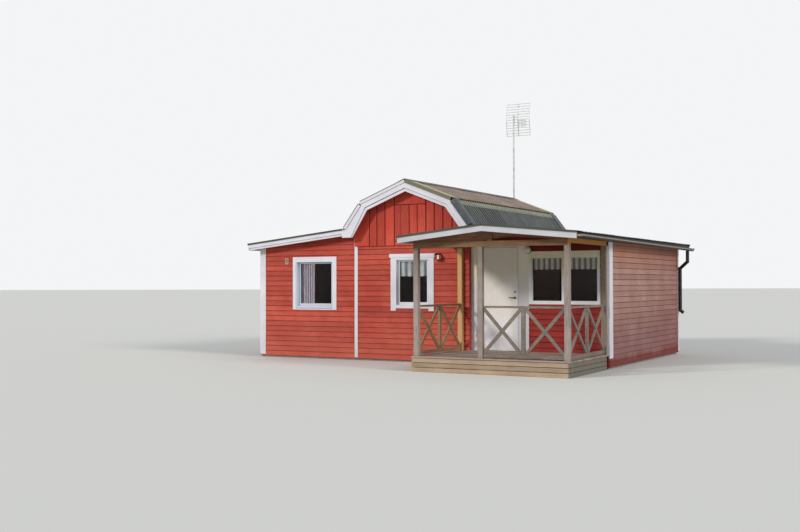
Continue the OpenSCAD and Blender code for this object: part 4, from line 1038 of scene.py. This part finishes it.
def addSheetRow(stack, a, b, y0, y1, lift=0.0):  # a and b are the sheet's ends in x and z
    look, waves, place, length = roofSheet, waveCount(y0, y1), slopePlace(a, b), math.dist(a, b)
    steps, perSheet = look["stepsPerWave"], look["wavesPerSheet"]
    rows = max(2, round(length / look["rowStep"]) + 1)
    for first in range(0, waves, perSheet):
        columns = min(perSheet, waves - first) * steps + 1
        over = look["overlap"] if (first // perSheet) % 2 else 0.0
        drift = [dice.uniform(-1, 1) * look["sag"] for _ in range(rows)]
        drift[0] = drift[-1] = 0
        points = []
        for face in (look["thick"], 0.0):
            for r in range(rows):
                for c in range(columns):
                    crest = look["crest"] * (1 - math.cos(2 * math.pi * c / steps)) / 2
                    x, z = place(length * r / (rows - 1), lift + over + face + crest + drift[r])
                    points.append(at(x, y0 + (y1 - y0) * (first + c / steps) / waves, z))
        n = rows * columns
        faces = gridFaces(rows, columns)
        rims = [(i, i + columns) for r in range(rows - 1) for i in (r * columns, r * columns + columns - 1)]
        rims += [(i, i + 1) for c in range(columns - 1) for i in (c, n - columns + c)]
        faces += [[n + i for i in face[::-1]] for face in faces] + [[i, j, n + j, n + i] for i, j in rims]
        # each face's tone: its place on the wave, painted as shade in the troughs, plus a random tone per
        # sheet
        sheetTone = dice.uniform(-0.12, 0.12)
        crests = [(1 - math.cos(2 * math.pi * (c + 0.5) / steps)) / 2 + sheetTone for c in range(columns - 1)]
        addFaces(stack, points, faces, crests * (rows - 1) * 2 + [0.0] * len(rims))


def addScrews(stack, a, b, distances, y0, y1, lift=0.0):  # capped screws on the crests
    waves, place = waveCount(y0, y1), slopePlace(a, b)
    level = lift + roofSheet["crest"] + roofSheet["thick"]
    for distance in distances:
        for crest in range(1, waves, sheetLay["screwEvery"]):
            middle = y0 + (y1 - y0) * (crest + 0.5) / waves

            def screwPlace(across, along, out):
                x, z = place(distance + across, level + out)
                return at(x, middle + along, z)

            addLathe(stack, screwPlace, sheetLay["screw"], sheetLay["screwSides"])


def addShadePlugs(stack, low, top, hand, y0, y1, lift):  # dark plugs under the crests, just inside a row's foot, painted as the shade in the open wave ends
    waves, place = waveCount(y0, y1), slopePlace(low, top, hand)
    (below, above), reach, steps = (sheetLay[k] for k in ("fillerGaps", "fillerReach", "fillerSteps"))
    turns = [-reach + 2 * reach * k / steps for k in range(steps + 1)]
    crests = [roofSheet["crest"] * (1 + math.cos(2 * math.pi * turn)) / 2 for turn in turns]
    rim = [(turn, lift + crest - above) for turn, crest in zip(turns, crests)]
    rim += [(turns[-1], lift + below), (turns[0], lift + below)]
    for wave in range(waves):
        ends = []
        for s in sheetLay["fillerSpan"]:
            ends.append([])
            for turn, up in rim:
                x, z = place(s, up)
                ends[-1].append(at(x, y0 + (y1 - y0) * (wave + 0.5 + turn) / waves, z))
        addPrism(stack, ends)


def makeRoof(name, stack, finish="slateSheet"):
    return makePiece(name, stack, finish, smoothUnder=40)


sheetY = [boxOf("gambrel_upper_sheets")[i][1] for i in (0, 1)]
porchY = boxOf("right_wing_sheets")[0][1]
lip, ridgeGap, wallGap = (sheetLay[k] for k in ("lip", "ridgeGap", "wallGap"))
leftLine, rightLine, porchLine = (roofLines[k] for k in ("leftWing", "rightWing", "porchLeft"))
rightEave, porchPeak = rightLine[1][0] + lip, porchLine[1][0]
flatRoofs = {  # the node, its line, and per field of sheets the x ends, y ends, last gap and rows of screws
    "leftWingRoof": (
        "left_wing_sheets",
        leftLine,
        (leftLine[0][0] - lip, -wallGap, *sheetY, 0, (0.06, 0.9, 1.75)),
    ),
    "rightWingRoof": (
        "right_wing_sheets",
        rightLine,
        (gableWidth + wallGap, rightEave, setback, sheetY[1], 0, (1.2, 2.1, 2.94)),
        (porchPeak + ridgeGap, rightEave, porchY, setback, wallGap, (0.85, 1.68)),
    ),
    "porchRoof": (
        "porch_left_sheets",
        porchLine,
        (porchLine[0][0] - lip, porchPeak - ridgeGap, porchY, -proud, wallGap, (0.06, 0.85)),
        (gableWidth + ridgeGap, porchPeak - ridgeGap, -proud, setback, 0, ()),
    ),
}
screws = newStack()
for name, (nodeName, line, *fields) in flatRoofs.items():
    row = newStack()
    for x0, x1, y0, y1, gap, distances in fields:
        a, b = pointOn(line, x0), pointOn(line, x1)
        addSheetRow(row, a, b, y0, y1 - gap)
        addScrews(screws, a, b, distances, y0, y1)
    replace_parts(makeRoof(name, row), nodeName)

upperA, upperB = raised(knee, ridge, sheetLay["batten"])
upperB = (ridge[0] - ridgeGap, onLine((upperA, upperB), ridge[0] - ridgeGap))
upperFoot = farther(upperA, upperB, -sheetLay["kneeLip"])
lowerA, lowerB = raised(foot, knee, sheetLay["batten"])
rowEnd, lowerTop = (farther(lowerB, lowerA, sheetLay[k]) for k in ("rowLength", "kneeShort"))
rowLift = roofSheet["thick"] + sheetLay["seat"]
upperRow, lowerRow, topRow, shadePlugs = (newStack() for _ in range(4))
for side, footLift in ((straight, sheetLay["leftFoot"]), (mirrored, sheetLay["rightFoot"])):
    footZ = boxOf("gambrel_lower_sheets")[0][2] + footLift
    rowFoot = (lowerA[0] + (footZ - lowerA[1]) * (lowerB[0] - lowerA[0]) / (lowerB[1] - lowerA[1]), footZ)
    for a, b, stack, lift in (
        (upperFoot, upperB, upperRow, 0),
        (rowFoot, farther(rowEnd, lowerB, sheetLay["rowLap"]), lowerRow, 0),
        (rowEnd, lowerTop, topRow, rowLift),
    ):
        if stack is not lowerRow:
            addShadePlugs(shadePlugs, side(a), side(b), -1 if side is mirrored else 1, *sheetY, lift)
        addSheetRow(stack, *onSide(side, a, b), *sheetY, lift)
    for a, b, distances, lift in (
        (upperFoot, upperB, (0.03, 0.55), 0),
        (rowFoot, rowEnd, (0.07,), 0),
        (rowEnd, lowerB, (0.03,), rowLift),
    ):
        if side is mirrored:
            distances = [math.dist(a, b) - d for d in distances]
        addScrews(screws, *onSide(side, a, b), distances, *sheetY, lift)
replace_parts(makeRoof("gambrelUpperRoof", upperRow, "brownSheet"), "gambrel_upper_sheets")
gambrelLower = makeRoof("gambrelLowerRoof", lowerRow)
makeRoof("gambrelKneeRoof", topRow, "paleSheet")
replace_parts(gambrelLower, "gambrel_lower_sheets")
# dark plugs painting the shade under the crests
makePiece("profileFillers", shadePlugs, "screwDark")
makeRoof("roofScrews", screws, "screwDark")
print("summer cottage: roof sheeted")


# Painted shade lines below the front verge's cap boards, and the corner board's narrow upper end

vergeTrim = {
    "capWidth": 0.095,
    "joint": 0.009,
    "proud": 0.0015,
    "capBack": -0.232,
    "fromFoot": 0.02,
    "strip": ((-0.022, -0.021, 2.382), (-0.001, -0.0005, 2.553)),
}


def buildShadeLines(look):
    stack, half, back = newStack(), look["joint"] / 2, look["capBack"]
    upper, lower = (raised(a, b, -look["capWidth"] - half) for a, b in ((knee, ridge), (foot, knee)))
    slopes = [(b[1] - a[1]) / (b[0] - a[0]) for a, b in (upper, lower)]
    apart = lower[0][1] - upper[0][1] + slopes[0] * upper[0][0] - slopes[1] * lower[0][0]
    bendX = apart / (slopes[0] - slopes[1])
    start = lower[0][0] + look["fromFoot"]
    path = [(start, onLine(lower, start)), (bendX, onLine(upper, bendX)), (ridge[0], onLine(upper, ridge[0]))]
    path += [mirrored(p) for p in reversed(path[:-1])]
    for a, b in zip(path, path[1:]):
        addSlab(stack, raised(a, b, half) + raised(a, b, -half)[::-1], back - look["proud"], back)
    return stack


makePiece("vergeJoints", buildShadeLines(vergeTrim), "jointGrey")
upperCorner = newStack()
addBox(upperCorner, *vergeTrim["strip"], 0.3)
makePiece("cornerUpperEnd", upperCorner, "whiteUpright")


# Folded corners where the verge flashings turn over the knees

kneeCorner = {
    "leg": ((0.2229, 3.2397), (0.2619, 3.2924), (0.2884, 3.2240), (0.2844, 3.1930)),  # x and z on the left
    "wing": ((0.2229, 3.2397), (0.2619, 3.2924), (0.2630, 3.2896), (0.2252, 3.2380)),
    "legThick": 0.003,
    "wingWide": 0.280,
}


def buildKneeCorners(look):
    stack = newStack()
    for side in (straight, mirrored):
        for y, inward in ((sheetY[0], 1), (sheetY[1], -1)):
            for shape, deep in ((look["leg"], look["legThick"]), (look["wing"], look["wingWide"])):
                addSlab(stack, [side(p) for p in shape], y, y + inward * deep)
    return stack


makePiece("flashingCorners", buildKneeCorners(kneeCorner), "edgeFlashing")


# Boards under the roof overhangs

soffit = {
    "width": 0.095,
    "gap": 0.003,
    "thick": 0.006,
    "fromVerge": 0.045,
    "fromPanel": 0.002,
    "fromFoot": 0.1,
    "leftWing": (-2.58, -0.2, 0.097),  # from and to, and how far below the roof boards
}


def layUnder(stack, a, b, y0, y1, drop):  # boards along y under the line from a to b
    a, b = raised(a, b, -drop)
    for i in range(int(math.dist(a, b) / soffit["width"])):
        p, q = (farther(a, b, soffit["width"] * i + g) for g in (soffit["gap"], soffit["width"]))
        tone = dice.random()
        addSlab(stack, (p, q, *raised(p, q, -soffit["thick"])[::-1]), y0, y1, tone)


overhang = newStack()
verge = [end[1] for end in boxOf("bargeboards")]
x0, x1, leftDrop = soffit["leftWing"]
fromPanel, fromVerge = proud + soffit["fromPanel"], soffit["fromVerge"]
for y0, y1 in ((verge[0] + fromVerge, -fromPanel), (depth + fromPanel, verge[1] - fromVerge)):
    for side in (straight, mirrored):
        for a, b in ((farther(foot, knee, soffit["fromFoot"]), knee), (knee, ridge)):
            layUnder(overhang, *onSide(side, a, b), y0, y1, house["roofBoards"] + 0.001)
    layUnder(overhang, pointOn(leftLine, x0), pointOn(leftLine, x1), y0, y1, leftDrop)
makePiece("overhangBoards", overhang, "soffitBrown")


# The porch platform: planks, skirts and joists

platform = {
    "plank": 0.117,
    "gap": 0.005,
    "thick": 0.028,
    "skirt": 0.022,
    "skirtRows": 3,
    "skirtGap": 0.007,
    "skirtInset": 0.012,
    "joist": 0.045,
    "joistInset": (0.040, 0.050, 0.020),
    "bays": 6,
    "uneven": 0.0015,
    "cornerGap": 0.004,
}


def buildPlatform(look):
    stack, skirts = newStack(), newStack()
    (x0, y0, _), (x1, _, top) = boxOf("porch_platform")
    under = top - look["thick"]
    y = y0
    while y < setback - 0.02:
        far = min(y + look["plank"], setback - 0.001)
        left, right = (x0, x1) if far <= 0 else (gableWidth + 0.002, rightX - 0.001)
        if y < 0 < far:
            far = -0.002
        lift = dice.uniform(-look["uneven"], 0)
        addBox(stack, (left, y, under + lift), (right, far, top + lift), dice.random(), 0.004)
        y += look["plank"] + look["gap"]
    rise, inset = under / look["skirtRows"], look["skirtInset"]
    back, short = y0 + inset + look["skirt"], look["cornerGap"]
    for row in range(look["skirtRows"]):
        z0, z1 = row * rise + 0.002, (row + 1) * rise - look["skirtGap"]
        addBox(skirts, (x0 + inset, y0 + inset, z0), (x1 - inset - short, back, z1), dice.random(), 0.003)
        for x in (x0 + inset, x1 - inset - look["skirt"]):
            addBox(skirts, (x, back + 0.001, z0), (x + look["skirt"], -0.002, z1), dice.random(), 0.003)
    side, front, foot = look["joistInset"]
    for i in range(look["bays"] + 1):
        x = x0 + side + (x1 - x0 - 2 * side - look["joist"]) * i / look["bays"]
        addBox(stack, (x, y0 + front, foot), (x + look["joist"], -0.01, under - 0.001), dice.random())
    return stack, skirts


planks, skirts = buildPlatform(platform)
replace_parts(makePiece("porchFloor", planks, "greyLevel"), "porch_platform")
makePiece("porchSkirts", skirts, "skirtBeige")
print("summer cottage: platform planked")


# The door's leaf, with grooves between its boards

doorLook = {"boards": 8, "groove": 0.005, "depth": 0.0016, "ease": 0.002}


def buildLeaf(look):
    (x0, y0, z0), (x1, y1, z1) = boxOf("door_leaf")
    e, g, d = look["ease"], look["groove"] / 2, look["depth"]
    half = [(0, e), (e, 0)]  # the front face from its left edge: how far along and how deep
    for i in range(1, look["boards"]):
        x = (x1 - x0) / look["boards"] * i
        half += [(x - g, 0), (x, d), (x + g, 0)]
    half += [(x1 - x0 - e, 0), (x1 - x0, e)]
    ring = [(x0 + x, y0 + deep) for x, deep in half] + [(x1 - x, y1 - deep) for x, deep in half]
    stack = newStack()
    addPrism(stack, [[at(x, y, z) for x, y in ring] for z in (z0, z1)], 0.2)
    return stack


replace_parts(makePiece("doorBoards", buildLeaf(doorLook), "doorPaint", "door"), "door_leaf")


# Curtains: thin gathered cloth behind the panes

curtainLook = {  # the frame, the span and heights there, how far back, folds, their depth and the cloth
    "leftCurtain": ("left_window_frame", (0.20, 0.50), (1.12, 2.06), 0.081, 5, 0.0065, "mauveCloth"),
    "leftCurtainEdge": ("left_window_frame", (0.11, 0.197), (1.12, 2.06), 0.081, 2, 0.0065, "blueCloth"),
    "gableValance": ("gable_window_frames", (0.231, 0.967), (1.742, 2.08), 0.081, 5, 0.006, "whiteCloth"),
    "porchValanceLeft": ("porch_window_frame", (0.03, 0.695), (1.856, 2.19), 0.191, 6, 0.006, "greyCloth"),
    "porchValanceRight": ("porch_window_frame", (0.735, 1.40), (1.856, 2.19), 0.191, 6, 0.006, "greyCloth"),
}


clothShape = {"stepsPerFold": 10, "rows": 14, "sway": 0.4, "hem": 0.004, "evenFolds": 0.45}


def hangCloth(name, node, span, heights, back, folds, deep, finish):
    left, (z0, z1) = boxOf(node)[0][0], heights
    u0, u1 = (left + u for u in span)
    steps, rows, most, even = (clothShape[k] for k in ("stepsPerFold", "rows", "sway", "evenFolds"))
    columns = folds * steps
    sway = [dice.uniform(-most, most) for _ in range(folds + 1)]
    points = []
    for r in range(rows + 1):
        v = r / rows
        for c in range(columns + 1):
            turn = c / steps
            fold = math.sin(2 * math.pi * turn + sway[int(turn)] * (1 - v))
            hem = clothShape["hem"] * math.sin(2 * math.pi * turn) * (1 - v) ** 4
            y = back + deep * (even + (1 - even) * (1 - v)) * fold
            points.append(at(u0 + (u1 - u0) * c / columns, y, z0 + (z1 - z0) * v + hem))
    stack = newStack()
    # each face's tone: its place in the fold, painted as shade in the fold valleys
    tones = [(1 + math.sin(2 * math.pi * (c + 0.5) / steps)) / 2 for c in range(columns)]
    addFaces(stack, points, gridFaces(rows + 1, columns + 1), tones * rows)
    piece = makePiece(name, stack, finish, smoothUnder=80)
    return piece


cloths = [hangCloth(name, *look) for name, look in curtainLook.items()]
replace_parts(cloths[0], "curtains")
print("summer cottage: door leaf and curtains made")


# Lamps, vent and the gutter's straps

lampLook = {
    "middle": (3.833, 2.231),
    "offWall": 0.022,
    "plateRadius": 0.074,
    "plateDepth": 0.016,
    "globeRadius": 0.066,
    "globeDepth": 0.064,
    "lantern": (1.900, 2.046, 2.062, 2.205),
    "lanternDepth": 0.125,
    "frameBar": 0.016,
    "barInset": 0.014,
    "backPlate": 0.008,
    "plateInset": 0.020,
    "eavesDrop": 0.045,
}


def buildWallLamp(look):
    u, z = look["middle"]
    face = setback - look["offWall"]
    place = lambda across, up, out: at(u + across, face - out, z + up)
    base, globe = newStack(), newStack()
    r, d = look["plateRadius"], look["plateDepth"]
    addLathe(base, place, [(r, 0.0), (r, d * 0.6), (r - 0.004, d * 0.9), (r - 0.010, d), (0.02, d + 0.002)])
    g, deep = look["globeRadius"], look["globeDepth"]
    turns = [math.radians(t) for t in range(0, 88, 8)]
    addLathe(globe, place, [(g * math.cos(t), d + deep * math.sin(t)) for t in turns])
    return base, globe


def buildLantern(look):
    u0, u1, z0, z1 = look["lantern"]
    deep, bar, middle, eaves = look["lanternDepth"], look["frameBar"], (u0 + u1) / 2, z1 - look["eavesDrop"]
    plate, inset = look["backPlate"], look["plateInset"]
    frame, panes = newStack(), newStack()
    addBox(frame, (u0 + inset, -plate, z0 + 0.01), (u1 - inset, 0, z1 - inset))
    for x in (u0 + look["barInset"], u1 - look["barInset"] - bar):
        for y in (-deep + plate, -plate - 0.002 - bar):
            addBox(frame, (x, y, z0 + 0.012), (x + bar, y + bar, eaves))
    addBox(frame, (u0 + plate, -deep + 0.002, z0), (u1 - plate, -plate, z0 + 0.013))
    addBox(frame, (u0 + 0.018, -deep + 0.009, z0 + 0.012), (middle, -deep + 0.013, eaves))  # a dark red plate over the front's left half
    for x in (u0, u1):
        addSlab(frame, [(middle, z1), (x, eaves), (x, eaves - 0.007), (middle, z1 - 0.009)], -deep, -0.001)
    addBox(panes, (u0 + inset, -deep + 0.014, z0 + 0.014), (u1 - inset, -0.014, eaves - 0.002))
    return frame, panes


lampBase, lampGlobe = buildWallLamp(lampLook)
makePiece("wallLampPlate", lampBase, "lampDark", smoothUnder=40)
makePiece("wallLampGlobe", lampGlobe, "opalGlass", smoothUnder=60)
lanternFrame, lanternPanes = buildLantern(lampLook)
lantern = makePiece("lanternFrame", lanternFrame, "lampBrown")
makePiece("lanternPanes", lanternPanes, "lanternPane")
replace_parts(lantern, "wall_lamps")

ventLook = {"rim": 0.009, "slats": 6, "deep": 0.008, "slatThick": 0.002}


def buildVent(look):
    (x0, _, z0), (x1, _, z1) = boxOf("vent_plate")
    stack, rim, front = newStack(), look["rim"], -siding["lowerEdge"] - look["deep"]
    left, right, low, high = x0 + rim, x1 - rim, z0 + rim, z1 - rim
    for a, b, c, d in ((x0, x1, z0, low), (x0, x1, high, z1), (x0, left, low, high), (right, x1, low, high)):
        addBox(stack, (a, front, c), (b, -0.002, d))
    pitch, thick = (z1 - z0 - 2 * rim) / look["slats"], look["slatThick"]
    for i in range(look["slats"]):
        z = low + pitch * i
        edge = [(front + 0.001, z), (front + 0.001, z + thick)]
        edge += [(-0.004, z + pitch - 0.001), (-0.004, z + pitch - 0.001 - thick)]
        addPrism(stack, [[at(x, y, up) for y, up in edge] for x in (left, right)])
    return stack


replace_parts(makePiece("ventGrille", buildVent(ventLook), "ventBeige"), "vent_plate")

gutterLook = {
    "strapEnds": (0.2, 0.1),
    "strapEvery": 0.62,
    "strapWidth": 0.026,
    "strapThick": 0.003,
    "rim": 0.006,
}


def buildStraps(look):  # flat straps across the gutter's mouth, and its rolled front rim, painted pale as a highlight
    (x0, y0, _), (x1, y1, top) = boxOf("gutter")
    straps, rim = newStack(), newStack()
    level = lambda y: top - gutterDrop * (y - y0) / (y1 - y0)
    first, last = look["strapEnds"]
    y = y0 + first
    while y < y1 - last:
        far = y + look["strapWidth"]
        z = level(far)
        addBox(straps, (x0 + 0.001, y, z - look["strapThick"]), (x1 - 0.001, far, z - 0.0003))
        y += look["strapEvery"]
    r = look["rim"]
    middle, turns = x1 - r - 0.001, [math.radians(t) for t in range(0, 360, 30)]
    ends = []
    for y in (y0 + 0.001, y1 - 0.001):
        height = level(y) - r - 0.001
        ends.append([at(middle + math.cos(t) * r, y, height + math.sin(t) * r) for t in turns])
    addPrism(rim, ends)
    return straps, rim


straps, rim = buildStraps(gutterLook)
makePiece("gutterStraps", straps, "gutterBlack")
makePiece("gutterRim", rim, "rimGrey")
print("summer cottage: lamps, vent and gutter detailed")
